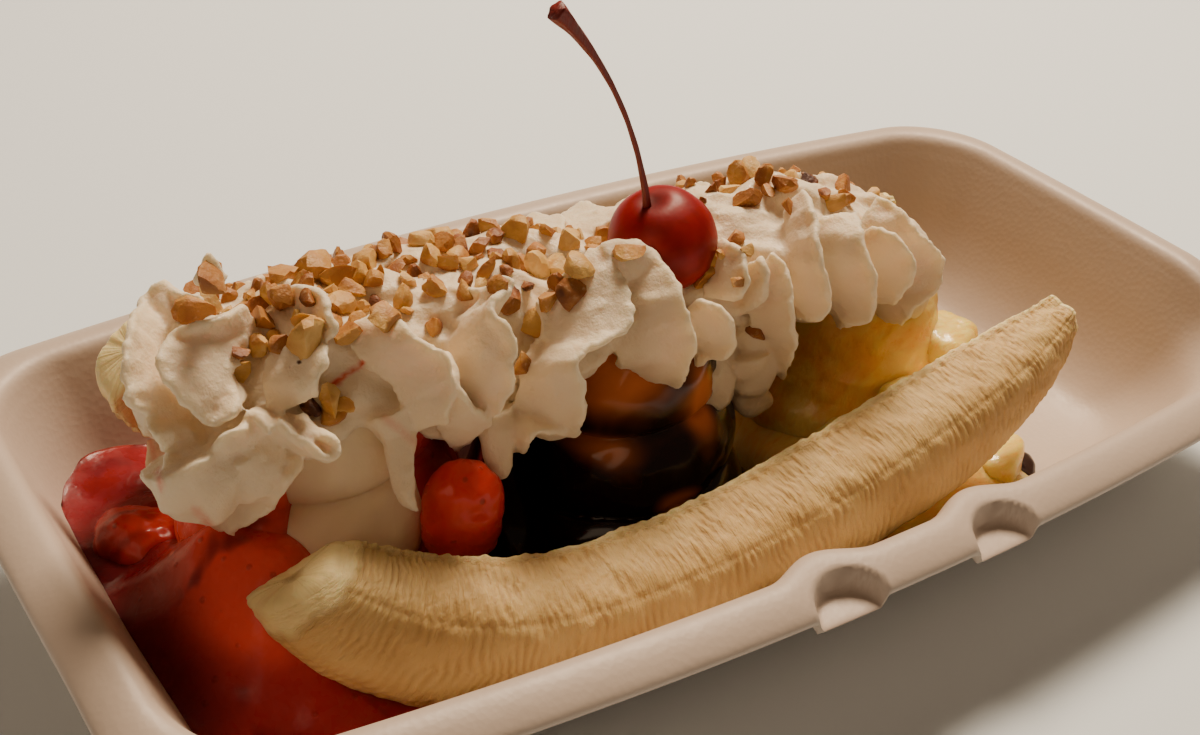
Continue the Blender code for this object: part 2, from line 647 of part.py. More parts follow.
def main():
    for obj in list(bpy.data.objects):
        bpy.data.objects.remove(obj)

    whole = bpy.data.objects.new("banana_split", None)
    bpy.context.scene.collection.objects.link(whole)

    foam = material("white_foam", (0.80, 0.77, 0.72), 0.55)
    banana = material("banana_flesh", (0.83, 0.66, 0.34), 0.55)
    vanilla = material("vanilla_soft_serve", (0.86, 0.76, 0.58), 0.4)
    strawberry = material("strawberry_sauce", (0.42, 0.01, 0.01), 0.15)
    berry = material("strawberry_piece", (0.62, 0.03, 0.015), 0.2)
    chocolate = material("chocolate_syrup", (0.03, 0.008, 0.004), 0.1)
    pineapple = material("pineapple_sauce", (0.55, 0.33, 0.03), 0.2)
    chunk = material("pineapple_piece", (0.85, 0.60, 0.06), 0.3)
    cream = material("whipped_cream", (0.90, 0.85, 0.76), 0.5)
    red = material("cherry_skin", (0.35, 0.004, 0.006), 0.12)
    wood = material("cherry_stem", (0.18, 0.02, 0.01), 0.5)

    tray(foam, whole)

    build("banana_near", *skin(banana_rings(-1)), banana, BANANA_MIDDLE, whole)
    far = (BANANA_MIDDLE[0], -BANANA_MIDDLE[1], BANANA_MIDDLE[2])
    build("banana_far", *skin(banana_rings(1)), banana, far, whole)

    for name, spec in MOUNDS.items():
        mound = build(name, *skin(mound_rings(spec)), vanilla, (spec[0], spec[1], FLOOR_Z), whole)
        combine(mound, "INTERSECT", [cavity("keep_in", GAP, 90.0)])

    def grown_mounds(grow=GAP):
        return [build("cut_" + name, *skin(mound_rings(spec, grow))) for name, spec in MOUNDS.items()]

    def grown_bananas(grow=GAP):
        return [build("cut_banana", *skin(banana_rings(side, grow))) for side in (-1, 1)]

    fruit = [("strawberry", STRAWBERRIES, berry, 0.85), ("pineapple", PINEAPPLES, chunk, 0.5)]

    def grown_fruit(grow=GAP):
        made = []
        for _, specs, _, square in fruit:
            for i, spec in enumerate(specs):
                made.append(build("cut_fruit", *skin(lump_rings(spec, i, square, grow))))
        return made

    for label, specs, surface, square in fruit:
        for i, spec in enumerate(specs):
            piece = build(
                f"{label}_piece_{i + 1}", *skin(lump_rings(spec, i, square)), surface, spec[0], whole
            )
            combine(piece, "INTERSECT", [cavity("keep_in", GAP, 90.0)])
            combine(piece, "DIFFERENCE", grown_mounds() + grown_bananas())
            keep_largest(piece)

    for (name, spec), surface in zip(POOLS.items(), (strawberry, chocolate, pineapple)):
        pool(name, spec, whole, surface, lambda: grown_mounds() + grown_bananas() + grown_fruit())

    build("cherry", *skin(cherry_rings()), red, CHERRY_CENTRE, whole)
    stem = build("cherry_stem", *skin(stem_rings()), wood, STEM_START, whole)
    combine(stem, "DIFFERENCE", [build("cut_cherry", *skin(cherry_rings(GAP)))])
    keep_largest(stem)

    body = build("whipped_cream", *skin(core_rings()), cream, (-19.0, CREAM_Y, 48.0), whole)
    added = []
    for i, spec in enumerate(FRONT_BLADES):
        added.append(build("blade", *skin(blade_rings(1, spec, i))))
    for i in range(BACK_BLADES):
        x = -92.0 + 144.0 * i / (BACK_BLADES - 1)
        spec = (x, x + 4.0, x + 1.0, 14 + 8 * math.sin(i * 1.7), 112 + 8 * math.sin(i * 2.1), 12.0, 7.5)
        added.append(build("blade", *skin(blade_rings(-1, spec, 50 + i))))
    for spec in DRIPS:
        added.append(build("drip", *skin(drip_rings(spec))))
    combine(body, "UNION", added)
    draw = random.Random(7)
    bpy.context.view_layer.update()
    nuts = [build("nut", *nut_shape(centre, size, draw), smooth=False) for centre, size in nut_places(body)]
    combine(body, "UNION", nuts)
    keep_largest(body)
    cutters = grown_mounds() + grown_fruit() + grown_bananas()
    cutters += [build("cut_cherry", *skin(cherry_rings(GAP))), build("cut_stem", *skin(stem_rings(GAP)))]
    combine(body, "DIFFERENCE", cutters)
    keep_largest(body)


main()
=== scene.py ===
"""Banana split in a foam tray: the dressed pieces, their finishes, the studio and the camera.

Lengths are in millimetres up to the mesh, which is made in metres, in the part's own frame.
"""

import math

import bpy
import numpy as np
from mathutils import Matrix, Vector
from mathutils.bvhtree import BVHTree


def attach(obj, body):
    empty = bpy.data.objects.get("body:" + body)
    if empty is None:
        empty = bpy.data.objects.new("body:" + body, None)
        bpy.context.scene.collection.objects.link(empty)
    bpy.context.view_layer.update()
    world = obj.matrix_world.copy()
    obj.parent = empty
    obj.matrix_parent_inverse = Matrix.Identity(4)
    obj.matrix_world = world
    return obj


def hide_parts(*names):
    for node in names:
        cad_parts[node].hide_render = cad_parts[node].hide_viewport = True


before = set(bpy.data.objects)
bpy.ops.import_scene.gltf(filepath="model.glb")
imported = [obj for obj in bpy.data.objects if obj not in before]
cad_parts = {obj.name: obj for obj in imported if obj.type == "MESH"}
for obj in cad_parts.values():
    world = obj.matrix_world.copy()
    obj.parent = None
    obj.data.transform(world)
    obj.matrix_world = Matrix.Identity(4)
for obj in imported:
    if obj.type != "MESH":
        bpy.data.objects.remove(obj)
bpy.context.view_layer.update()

MM = 0.001

# the picture's size, and the camera, fitted to the tray's rim and the bananas
PICTURE_WIDTH, PICTURE_HEIGHT = 1200.0, 735.0
SENSOR = 36.0
CAMERA_PLACE = (-156.1, -186.9, 191.6)
CAMERA_AZIMUTH, CAMERA_ELEVATION, CAMERA_ROLL = -36.57, 33.62, 4.63
CAMERA_LENS = 47.63

# the tray
HALF_LENGTH, HALF_WIDTH = 120.0, 54.95
SIDE_BOW, END_BOW = 8.7, 1.0
CORNER = 17.4
NEAR_DROP, NEAR_TILT = 4.8, 0.015
FLOOR_Z, LIP_TOP = 3.0, 36.0
LATCH_X = (-12.0, 22.5)
LATCH_RADIUS, LATCH_BULGE = 6.6, 3.2
LATCH_BULGE_INSETS, LATCH_BULGE_SHARES = (0.9, 3.6, 6.3, 9.5, 13.0, 18.0), (0.0, 0.8, 1.0, 1.0, 0.6, 0.0)
LATCH_FLOOR, LATCH_UNDER = 30.6, 29.4
# inset from the widest line and height, up the outside, round the lip and down the inside
OUTSIDE = ((32.0, 0.0), (27.0, 1.0), (22.5, 4.5), (17.8, 10.0), (14.2, 16.5), (10.8, 25.0), (8.3, 31.0))
LIP_UNDER = ((6.5, 31.5), (3.0, 31.5), (0.7, 31.7))
LIP = ((0.0, 32.7), (0.8, 34.0), (3.4, 35.4), (6.3, LIP_TOP), (8.4, 35.1))
INSIDE = ((10.0, 32.0), (12.9, 25.0), (16.3, 16.5), (20.0, 10.0), (25.0, 5.0), (30.5, FLOOR_Z))

# the banana halves
BANANA_RADIUS, BANANA_LENGTH = 12.5, 172.9
BANANA_MIDDLE = (-10.2, -33.6, 19.2)
BANANA_TURN = (0.108, 0.248, -0.486, 0.524)
BEND_PLANE, FACE_TURN = math.radians(52), math.radians(25)
LEFT_TAPER, RIGHT_TAPER = 0.274, 0.543
BANANA_SEAMS = (62.0, 134.0)
STRING_AT = 47.0
CUT_SLANT, CUT_BEVEL = 3.3, 0.09
RIB_STEP, RIB_DEPTH, SEAM_DEPTH = 1.6, 0.22, 0.2
FAR_BANANA_RISE, FAR_BANANA_REACH = 11.0, 3.6
# a cut end, from the last ring outwards: share of its bulge and share of the ring's size
CUT_END = ((0.15, 0.99), (0.4, 0.965), (0.62, 0.92), (0.8, 0.85), (0.92, 0.74), (1.0, 0.55), (1.03, 0.25))
LEFT_BULGE, RIGHT_BULGE = 1.2, 1.6

# centre x, centre y, base radius, top radius, top height, tiers, phase of the swirl
MOUNDS = {
    "ice_cream_left": (-70.0, 0.0, 25.0, 12.0, 60.0, 3.6, 0.4),
    "ice_cream_middle": (-13.0, -3.0, 23.0, 11.0, 52.5, 3.3, 0.65),
    "ice_cream_right": (42.0, 1.0, 22.0, 10.0, 49.0, 3.0, 0.1),
}

# spots of painted light on a coat, added to its thin numbers; on the chocolate they also stand where the ice
# cream shows through: angle, share of the height, half widths in both, strength
STRAWBERRY_PAINTED_LIGHT = ((195, 0.5, 45, 0.4, 1.1),)
CHOCOLATE_PAINTED_LIGHT = (
    (210, 0.84, 42, 0.13, 1.4), (286, 0.70, 12, 0.13, 1.2), (264, 0.37, 13, 0.06, 1.2),
    (216, 0.57, 28, 0.05, 0.7), (60, 0.8, 30, 0.1, 0.6), (120, 0.5, 20, 0.06, 0.5),
    (340, 0.55, 14, 0.06, 0.5),
)

# x from, x to, level at the left, level at the right
POOLS = {
    "strawberry_sauce": (-108.0, -43.0, 18.5, 13.0),
    "chocolate_sauce": (-42.7, 17.0, 12.5, 10.0),
    "pineapple_sauce": (17.3, 64.0, 9.5, 6.5),
}
POOL_CORNER = 11.0

# where a pool swells: centre x, centre y, radius, height
SWELLS = {
    "strawberry_sauce": (
        (-86.5, -9.0, 16.0, 19.0), (-96.0, 15.0, 7.0, 1.5), (-87.0, -23.0, 9.0, 6.0), (-47.5, 2.0, 8.0, 22.0),
    ),
    "chocolate_sauce": ((-38.5, 2.0, 8.0, 24.0),),
    "pineapple_sauce": ((44.0, -6.0, 22.0, 14.0),),
}

# centre, half lengths, turn about z in degrees
STRAWBERRIES = (
    ((-96.5, 14.5, 19.0), (7.0, 8.5, 5.5), 20),
    ((-92.5, -5.5, 24.0), (7.5, 9.0, 7.0), -30),
    ((-88.0, -24.0, 17.0), (8.0, 6.5, 5.0), 15),
    ((-56.8, -20.0, 33.5), (7.0, 5.5, 10.2), 0),
)
PINEAPPLES = (
    ((55.0, -14.0, 25.5), (7.5, 5.5, 7.0), 25),
    ((41.0, -23.0, 22.0), (8.5, 4.5, 6.5), -10),
    ((24.0, -20.5, 17.0), (6.0, 4.5, 5.0), 15),
    ((59.0, -30.0, 8.0), (7.0, 5.0, 3.8), 35),
    ((64.0, 4.0, 14.0), (5.5, 7.0, 7.0), -15),
    ((52.0, 26.0, 12.0), (7.5, 5.5, 6.0), 10),
)
CHOCOLATE_DROP = ((63.0, -31.0, 4.3), (8.0, 5.0, 1.8), 30)

CHERRY_CENTRE, CHERRY_RADIUS, CHERRY_TILT = (-10.5, -5.0, 63.5), 9.3, 0.35
STEM_START, STEM_BEND, STEM_END = (-13.8, -5.0, 68.5), (-18.5, -5.0, 92.0), (-34.2, -5.0, 107.2)
STEM_RADII = (0.8, 0.5, 0.42, 0.42, 0.5, 0.8, 1.5)

# station x, top, hem and half width of the cream under the petals
CREAM_STATIONS = (-99.0, -91.0, -78.0, -60.0, -40.0, -20.0, 0.0, 20.0, 36.0, 50.0, 60.0)
CREAM_TOP = (58.0, 65.0, 68.0, 67.0, 66.0, 63.0, 63.5, 64.5, 60.5, 52.0, 43.0)
CREAM_HEM = (50.0, 42.0, 37.0, 37.0, 40.0, 45.0, 41.0, 36.0, 34.0, 33.0, 33.0)
CREAM_HALF = (3.0, 12.0, 16.0, 17.0, 17.0, 16.5, 16.0, 16.0, 14.5, 12.0, 6.0)
CREAM_Y, CREAM_ENDS = 1.0, (-95.0, 57.0)
CREAM_CELL, CREAM_TRIANGLES = 0.00046, 190000

# petals on the camera's side: the free edge and the root line, in the picture's own places, and the reach
PETALS = (
    (((198, 296), (178, 289), (166, 280), (152, 287), (140, 300), (128, 318), (121, 338), (119, 362),
      (121, 380), (124, 390), (122, 400), (132, 411), (147, 417)),
     ((205, 300), (200, 310), (190, 318), (178, 326), (170, 335), (160, 350), (155, 365), (158, 380),
      (165, 392), (172, 402), (178, 408), (184, 414), (190, 420)), 7.5),
    (((244, 304), (225, 311), (205, 318), (185, 325), (171, 332), (161, 343), (154, 360), (157, 378),
      (166, 392), (182, 410), (200, 423), (216, 426), (232, 418), (242, 404)),
     ((246, 316), (243, 322), (238, 328), (232, 334), (226, 340), (222, 348), (220, 358), (222, 368),
      (226, 376), (230, 382), (234, 386), (236, 388), (238, 388), (240, 386)), 8.5),
    (((146, 420), (143, 428), (147, 436), (158, 446), (166, 450)),
     ((190, 425), (195, 430), (200, 436), (205, 440), (208, 444)), 6.5),
    (((176, 448), (164, 455), (161, 463), (166, 478), (175, 488), (190, 500), (203, 515), (215, 530),
      (224, 538), (236, 532), (262, 518), (280, 500), (303, 470), (305, 460)),
     ((210, 440), (212, 445), (215, 455), (220, 462), (225, 466), (230, 470), (238, 472), (244, 472),
      (250, 470), (256, 467), (262, 463), (266, 459), (270, 455), (272, 450)), 7.5),
    (((240, 424), (225, 427), (216, 434), (212, 446), (210, 458), (214, 468)),
     ((262, 430), (258, 436), (255, 442), (254, 450), (255, 458), (258, 464)), 8.5),
    (((300, 418), (315, 428), (330, 436), (340, 444), (340, 456), (326, 459), (308, 452), (290, 440),
      (272, 424), (256, 416), (244, 414)),
     ((292, 420), (300, 429), (306, 436), (310, 441), (310, 445), (306, 444), (298, 439), (288, 432),
      (275, 425), (263, 421), (252, 419)), 8.0),
    (((322, 340), (330, 347), (328, 362), (320, 378), (320, 392)),
     ((290, 348), (288, 358), (284, 372), (282, 386), (284, 400)), 7.0),
    (((300, 283), (318, 287), (329, 300), (332, 316), (339, 328), (336, 338), (322, 340)),
     ((292, 290), (300, 298), (308, 308), (310, 318), (312, 326), (312, 334), (308, 338)), 7.5),
    (((392, 306), (405, 320), (420, 336), (438, 345), (448, 354), (453, 370), (456, 390), (452, 408),
      (449, 420)),
     ((360, 330), (368, 345), (380, 355), (392, 362), (404, 370), (412, 384), (416, 398), (418, 410),
      (420, 420)), 7.5),
    (((450, 352), (455, 362), (463, 382), (472, 400), (482, 412), (492, 420)),
     ((430, 350), (436, 372), (440, 392), (446, 410), (452, 424), (460, 436)), 6.5),
    (((478, 292), (490, 280), (503, 275), (517, 284), (505, 292), (497, 298), (497, 314), (508, 320),
      (517, 334), (519, 350), (515, 368), (515, 388), (507, 398), (501, 414)),
     ((462, 300), (464, 300), (468, 302), (472, 306), (474, 310), (474, 316), (472, 324), (470, 332),
      (468, 342), (466, 354), (466, 366), (468, 380), (474, 396), (484, 410)), 8.5),
    (((590, 252), (603, 256), (615, 268), (626, 280), (631, 295), (634, 310), (634, 325), (626, 336),
      (610, 342), (594, 347), (581, 357), (580, 368), (587, 380), (588, 398), (584, 420), (578, 436),
      (558, 437), (540, 438), (524, 455), (510, 479), (496, 482)),
     ((545, 300), (548, 304), (552, 310), (555, 316), (558, 324), (558, 332), (556, 340), (553, 346),
      (550, 352), (546, 358), (540, 364), (536, 372), (534, 382), (532, 392), (530, 402), (526, 412),
      (520, 420), (514, 428), (508, 436), (500, 444), (494, 450)), 8.5),
    (((638, 252), (653, 254), (667, 265), (680, 281), (686, 301), (692, 320), (697, 342), (694, 358),
      (688, 372), (682, 384), (668, 392), (662, 396)),
     ((612, 266), (616, 274), (621, 286), (626, 300), (630, 316), (632, 330), (632, 342), (634, 352),
      (638, 362), (642, 372), (648, 380), (652, 388)), 8.5),
    (((728, 240), (744, 250), (749, 270), (750, 285), (746, 296), (738, 300)),
     ((718, 250), (722, 260), (724, 270), (722, 280), (718, 288), (714, 294)), 7.5),
    (((698, 298), (712, 300), (726, 306), (733, 318), (737, 332), (736, 347), (727, 358), (713, 363),
      (698, 366)),
     ((686, 312), (690, 316), (694, 321), (696, 327), (697, 334), (696, 341), (694, 346), (691, 350),
      (688, 352)), 7.5),
    (((876, 226), (890, 228), (902, 238), (912, 252), (917, 268), (914, 282), (905, 294), (896, 302)),
     ((862, 240), (866, 246), (870, 254), (873, 262), (875, 270), (875, 278), (872, 286),
      (868, 292)), 10.0),
    (((752, 262), (762, 256), (766, 268), (768, 285), (766, 300)),
     ((746, 275), (750, 280), (753, 288), (753, 296), (751, 304)), 7.0),
    (((772, 250), (782, 258), (790, 275), (795, 292), (796, 310), (797, 330), (798, 345), (792, 362),
      (785, 378), (772, 395), (758, 410), (740, 425), (727, 426), (716, 412), (700, 396), (690, 384)),
     ((760, 275), (762, 285), (764, 296), (765, 306), (765, 318), (764, 330), (762, 342), (758, 352),
      (752, 362), (745, 370), (738, 376), (730, 380), (722, 382), (712, 382), (704, 380), (696, 376)), 7.5),
    (((808, 190), (816, 205), (819, 225), (818, 240), (823, 258), (830, 275), (834, 293), (830, 312),
      (818, 321), (806, 318)),
     ((796, 210), (798, 220), (799, 232), (799, 245), (799, 260), (799, 272), (799, 284), (798, 296),
      (796, 306), (794, 312)), 8.5),
    (((858, 215), (864, 230), (868, 250), (874, 268), (878, 285), (878, 305), (874, 320), (858, 326),
      (845, 325)),
     ((826, 225), (828, 235), (832, 250), (838, 265), (842, 280), (844, 292), (842, 305), (838, 315),
      (834, 320)), 8.5),
    (((880, 198), (892, 202), (905, 212), (918, 228), (932, 242), (943, 255), (944, 272), (940, 288),
      (930, 300), (916, 310), (905, 322), (895, 322)),
     ((866, 225), (870, 232), (876, 242), (884, 252), (890, 262), (892, 272), (892, 282), (890, 290),
      (886, 298), (882, 306), (880, 312), (878, 316)), 8.5),
)
# petals on the side away from the camera
BACK_PETALS = 14

# where nuts lie in the picture, their size, and their tone from dark skin at 0 to a pale break at 1
NUTS = (
    (210, 281, 2.6, 0.35), (243, 272, 2.7, 0.40), (190, 312, 2.4, 0.50), (212, 307, 2.5, 0.90),
    (275, 300, 2.0, 0.50), (262, 320, 2.5, 0.35), (252, 345, 2.3, 0.70), (288, 300, 2.6, 0.50),
    (295, 268, 2.4, 0.75), (318, 272, 2.7, 0.60), (275, 270, 1.9, 0.55), (282, 264, 1.5, 0.10),
    (340, 285, 2.6, 0.60), (312, 300, 1.9, 0.10), (310, 320, 2.0, 0.55), (312, 345, 2.5, 0.60),
    (258, 290, 1.6, 0.40), (338, 264, 2.0, 0.50), (388, 320, 2.7, 0.62), (350, 335, 2.8, 0.45),
    (432, 330, 2.2, 0.40), (398, 240, 2.7, 0.72), (422, 246, 2.7, 0.74), (452, 235, 2.1, 0.30),
    (465, 226, 1.9, 0.50), (447, 265, 2.9, 0.45), (470, 268, 2.3, 0.88), (482, 250, 2.5, 0.40),
    (489, 268, 2.1, 0.50), (502, 219, 1.9, 0.70), (517, 232, 2.5, 0.70), (496, 242, 2.4, 0.34),
    (436, 289, 2.7, 0.60), (466, 292, 1.8, 0.55), (510, 300, 2.5, 0.30), (526, 286, 1.7, 0.06),
    (534, 275, 2.5, 0.86), (554, 268, 2.2, 0.84), (577, 270, 2.2, 0.76), (571, 295, 2.5, 0.40),
    (546, 302, 2.4, 0.50), (541, 324, 2.4, 0.62), (569, 208, 2.2, 0.70), (571, 245, 2.7, 0.65),
    (600, 236, 1.8, 0.50), (527, 363, 2.3, 0.45), (366, 265, 2.7, 0.55), (374, 285, 2.0, 0.50),
    (346, 292, 2.2, 0.60), (372, 305, 1.6, 0.08), (308, 402, 1.9, 0.08), (329, 400, 2.1, 0.76),
    (344, 404, 2.1, 0.72), (330, 412, 1.8, 0.45), (630, 252, 2.3, 0.60), (618, 256, 1.6, 0.50),
    (735, 240, 2.0, 0.40), (744, 251, 1.7, 0.65), (722, 256, 1.6, 0.60), (711, 264, 2.3, 0.50),
    (709, 277, 2.3, 0.52), (697, 283, 1.9, 0.50), (738, 284, 1.7, 0.60), (741, 179, 2.6, 0.60),
    (752, 172, 2.0, 0.72), (745, 204, 2.3, 0.36), (768, 194, 2.0, 0.36), (785, 188, 2.1, 0.30),
    (812, 173, 2.4, 0.50), (832, 203, 2.4, 0.50), (822, 195, 1.7, 0.40), (846, 199, 1.5, 0.60),
    (776, 167, 1.9, 0.60), (757, 332, 1.5, 0.14), (790, 208, 1.8, 0.44), (262, 308, 1.7, 0.30),
    (300, 284, 1.9, 0.62), (330, 278, 2.1, 0.48), (358, 276, 1.8, 0.66), (408, 262, 1.6, 0.58),
    (460, 250, 1.9, 0.36), (520, 262, 1.8, 0.52), (536, 252, 1.7, 0.48), (556, 285, 1.8, 0.20),
    (764, 178, 1.8, 0.46), (384, 252, 1.8, 0.62), (440, 246, 1.8, 0.40), (500, 285, 1.8, 0.42),
    (228, 292, 1.8, 0.22), (268, 282, 2.0, 0.46),
)

# cream that hangs down: its line in the picture, y at its start and end, and its radii
DRIPS = (
    (((388, 412), (398, 440), (402, 475), (408, 500), (418, 512)), (-15.0, -24.0), (4.2, 2.6, 2.1, 1.7, 0.8)),
    (((492, 410), (497, 440), (500, 465), (503, 478)), (-15.0, -19.0), (3.6, 2.9, 2.5, 2.2)),
    (((530, 412), (550, 412), (570, 410), (580, 406)), (-16.0, -17.5), (4.0, 4.6, 4.4, 4.0)),
    (((700, 372), (712, 392), (722, 404)), (-13.0, -15.0), (5.5, 5.0, 3.5)),
    (((746, 350), (748, 375), (742, 396)), (-13.0, -15.0), (6.0, 5.0, 3.5)),
    (((900, 285), (902, 300), (893, 312)), (-11.0, -12.5), (6.0, 5.0, 3.0)),
    (((850, 285), (856, 305), (856, 318)), (-12.0, -13.5), (5.5, 4.5, 3.0)),
    (((212, 282), (210, 266), (209, 251)), (-3.0, -3.0), (2.6, 1.5, 0.6)),
    (((185, 455), (205, 490), (222, 522)), (-12.0, -16.0), (7.0, 6.5, 2.5)),
    (((690, 318), (700, 336), (708, 352)), (-11.5, -12.5), (5.0, 5.5, 4.0)),
    (((235, 452), (250, 478), (256, 498)), (-13.0, -15.5), (6.0, 6.0, 4.0)),
    (((600, 262), (632, 264), (655, 276)), (-11.0, -12.0), (3.0, 4.2, 3.5)),
    (((318, 690), (345, 702), (372, 708)), (-26.5, -32.0), (1.8, 3.2, 1.6)),
    (((155, 438), (160, 464), (157, 492)), (21.0, 15.0), (1.6, 2.4, 1.6)),
    (((890, 232), (900, 262), (898, 285)), (-8.0, -10.0), (5.0, 6.0, 5.0)),
    (((742, 318), (760, 330), (772, 345)), (-11.5, -13.0), (4.0, 6.0, 5.0)),
    (((738, 385), (752, 392), (764, 384)), (-13.0, -14.0), (3.5, 4.5, 3.5)),
)

# sauce on the cream: from and to in the picture, half width there, strength
STAINS = (
    ((332, 385), (362, 363), 3.5, 1.0), ((385, 418), (420, 446), 7.0, 0.4),
    ((196, 510), (222, 540), 7.0, 0.45), ((290, 490), (310, 470), 6.0, 0.35),
    ((430, 455), (455, 465), 6.0, 0.3), ((150, 440), (162, 490), 5.0, 0.5),
    ((340, 335), (346, 331), 4.0, 0.5), ((320, 690), (372, 708), 9.0, 0.3),
)

# specks of dark nut skin on the cream
SPECKS = ((290, 369), (371, 258), (516, 250), (300, 362), (397, 262), (488, 216), (560, 223), (424, 278))

# nuts strewn by draws over the ridge, how many of them by the left, and the angle of a nut's sharp edges
STREWN_NUTS, STREWN_LEFT = 95, 48
NUT_EDGE = math.radians(36)

# the studio, in metres and watts: name, place, size, power and colour of each light, and the even surround
LIGHTS = (
    ("key_light", (0.36, 0.34, 0.78), 0.28, 15.5, (1.0, 0.78, 0.56)),
    ("fill_light", (-0.8, -0.35, 0.6), 0.5, 1.0, (1.0, 0.72, 0.48)),
)
LIGHTS_AIM = (0.0, 0.0, 0.03)
SURROUND = ((1.0, 0.68, 0.45, 1.0), 0.12)
FLOOR_HALF = 4.0


# the camera comes first


def turned_axes(azimuth, elevation, roll):
    """Right, up and back of a camera that looks at the part from this azimuth and elevation, with a roll."""
    a, e, r = (math.radians(v) for v in (azimuth, elevation, roll))
    back = Vector((math.sin(a) * math.cos(e), -math.cos(a) * math.cos(e), math.sin(e)))
    right = (-back).cross(Vector((0.0, 0.0, 1.0))).normalized()
    up = right.cross(-back)
    return right * math.cos(r) + up * math.sin(r), up * math.cos(r) - right * math.sin(r), back


def picture_axes():
    """The camera's right, up and back, and its distance to the picture in the picture's own places."""
    right, up, back = (np.array(v) for v in turned_axes(CAMERA_AZIMUTH, CAMERA_ELEVATION, CAMERA_ROLL))
    return right, up, back, CAMERA_LENS / SENSOR * PICTURE_WIDTH


def photo_camera():
    lens = bpy.data.cameras.new("photo_camera")
    lens.lens, lens.sensor_width, lens.clip_start = CAMERA_LENS, SENSOR, 0.01
    camera = bpy.data.objects.new("photo_camera", lens)
    right, up, back = turned_axes(CAMERA_AZIMUTH, CAMERA_ELEVATION, CAMERA_ROLL)
    turn = Matrix((right, up, back)).transposed().to_4x4()
    camera.matrix_world = Matrix.Translation(Vector(CAMERA_PLACE) * MM) @ turn
    bpy.context.scene.collection.objects.link(camera)
    bpy.context.scene.camera = camera


photo_camera()


# finishes


class Wire:
    """One output of a material's node: arithmetic on it adds Math nodes, and node() adds any other kind."""

    def __init__(self, tree, socket=None):
        self.tree, self.socket = tree, socket

    def node(self, kind, settings=None, inputs=None, out=0):
        made = self.tree.nodes.new("ShaderNode" + kind)
        for key, value in (settings or {}).items():
            if key == "stops":
                ramp = made.color_ramp
                for place, colour in value[2:]:
                    ramp.elements.new(place)
                for stop, (place, colour) in zip(ramp.elements, sorted(value)):
                    stop.position = place
                    stop.color = (*colour, 1.0)
            else:
                setattr(made, key, value)
        for key, value in (inputs or {}).items():
            if isinstance(value, Wire):
                self.tree.links.new(value.socket, made.inputs[key])
            else:
                made.inputs[key].default_value = value
        return Wire(self.tree, made.outputs[out])

    def math(self, operation, *values):
        return self.node("Math", {"operation": operation}, dict(enumerate(values)))

    def __add__(self, other):
        return self.math("ADD", self, other)

    def __radd__(self, other):
        return self.math("ADD", other, self)

    def __sub__(self, other):
        return self.math("SUBTRACT", self, other)

    def __rsub__(self, other):
        return self.math("SUBTRACT", other, self)

    def __mul__(self, other):
        return self.math("MULTIPLY", self, other)

    def __rmul__(self, other):
        return self.math("MULTIPLY", other, self)

    def between(self, low, high):
        """0 below low, 1 above high, and a soft step between them."""
        return self.node(
            "MapRange",
            {"interpolation_type": "SMOOTHSTEP"},
            {"Value": self, "From Min": low, "From Max": high, "To Min": 0.0, "To Max": 1.0},
        )

    def noise(self, scale, detail=2.0, rough=0.5, warp=0.0):
        """Noise over this place, with about scale bumps to a metre."""
        return self.node(
            "TexNoise",
            {},
            {"Vector": self, "Scale": scale, "Detail": detail, "Roughness": rough, "Distortion": warp},
        )

    def mix(self, other, factor):
        """This colour, changing to the other one by factor."""
        kinds = {"data_type": "RGBA"}
        a, b = (v if isinstance(v, Wire) else (*v, 1.0) for v in (self, other))
        return self.node("Mix", kinds, {0: factor, 6: a, 7: b}, out=2)


class Finish:
    """One material: constants go on its shader, and wires feed colour, roughness, coat, and bump."""

    def __init__(self, name, **constants):
        self.material = bpy.data.materials.new(name)
        self.material.use_nodes = True
        self.tree = self.material.node_tree
        self.shader = self.tree.nodes["Principled BSDF"]
        for key, value in constants.items():
            self.shader.inputs[key.replace("_", " ")].default_value = value
        self.wire = Wire(self.tree)
        self.place = self.wire.node("TexCoord", out="Object")

    def colour(self, value):
        made = self.wire.node("RGB")
        made.socket.default_value = (*value, 1.0)
        return made

    def attribute(self, name):
        return self.wire.node("Attribute", {"attribute_name": name}, out="Fac")

    def feed(self, **wires):
        for key, value in wires.items():
            self.tree.links.new(value.socket, self.shader.inputs[key.replace("_", " ")])

    def bump(self, *layers):
        """Each layer is a height wire and its full height in metres."""
        normal = None
        for height, depth in layers:
            inputs = {"Height": height, "Distance": depth, "Strength": 1.0}
            if normal:
                inputs["Normal"] = normal
            normal = self.wire.node("Bump", {}, inputs)
        self.tree.links.new(normal.socket, self.shader.inputs["Normal"])


def foam_finish():
    """Pressed foam: a soft shell of beads, slightly uneven, with a faint sheen."""
    made = Finish("white_foam", Roughness=0.42, IOR=1.45)
    beads = made.wire.node("TexVoronoi", {}, {"Vector": made.place, "Scale": 900.0})
    cloud = made.place.noise(28.0, 3.0)
    made.feed(Base_Color=made.colour((0.50, 0.41, 0.34)).mix((0.57, 0.475, 0.40), cloud))
    made.feed(Roughness=0.36 + 0.2 * made.place.noise(240.0, 2.0))
    made.bump((beads, 0.00003), (made.place.noise(160.0, 2.0), 0.000025))
    return made.material


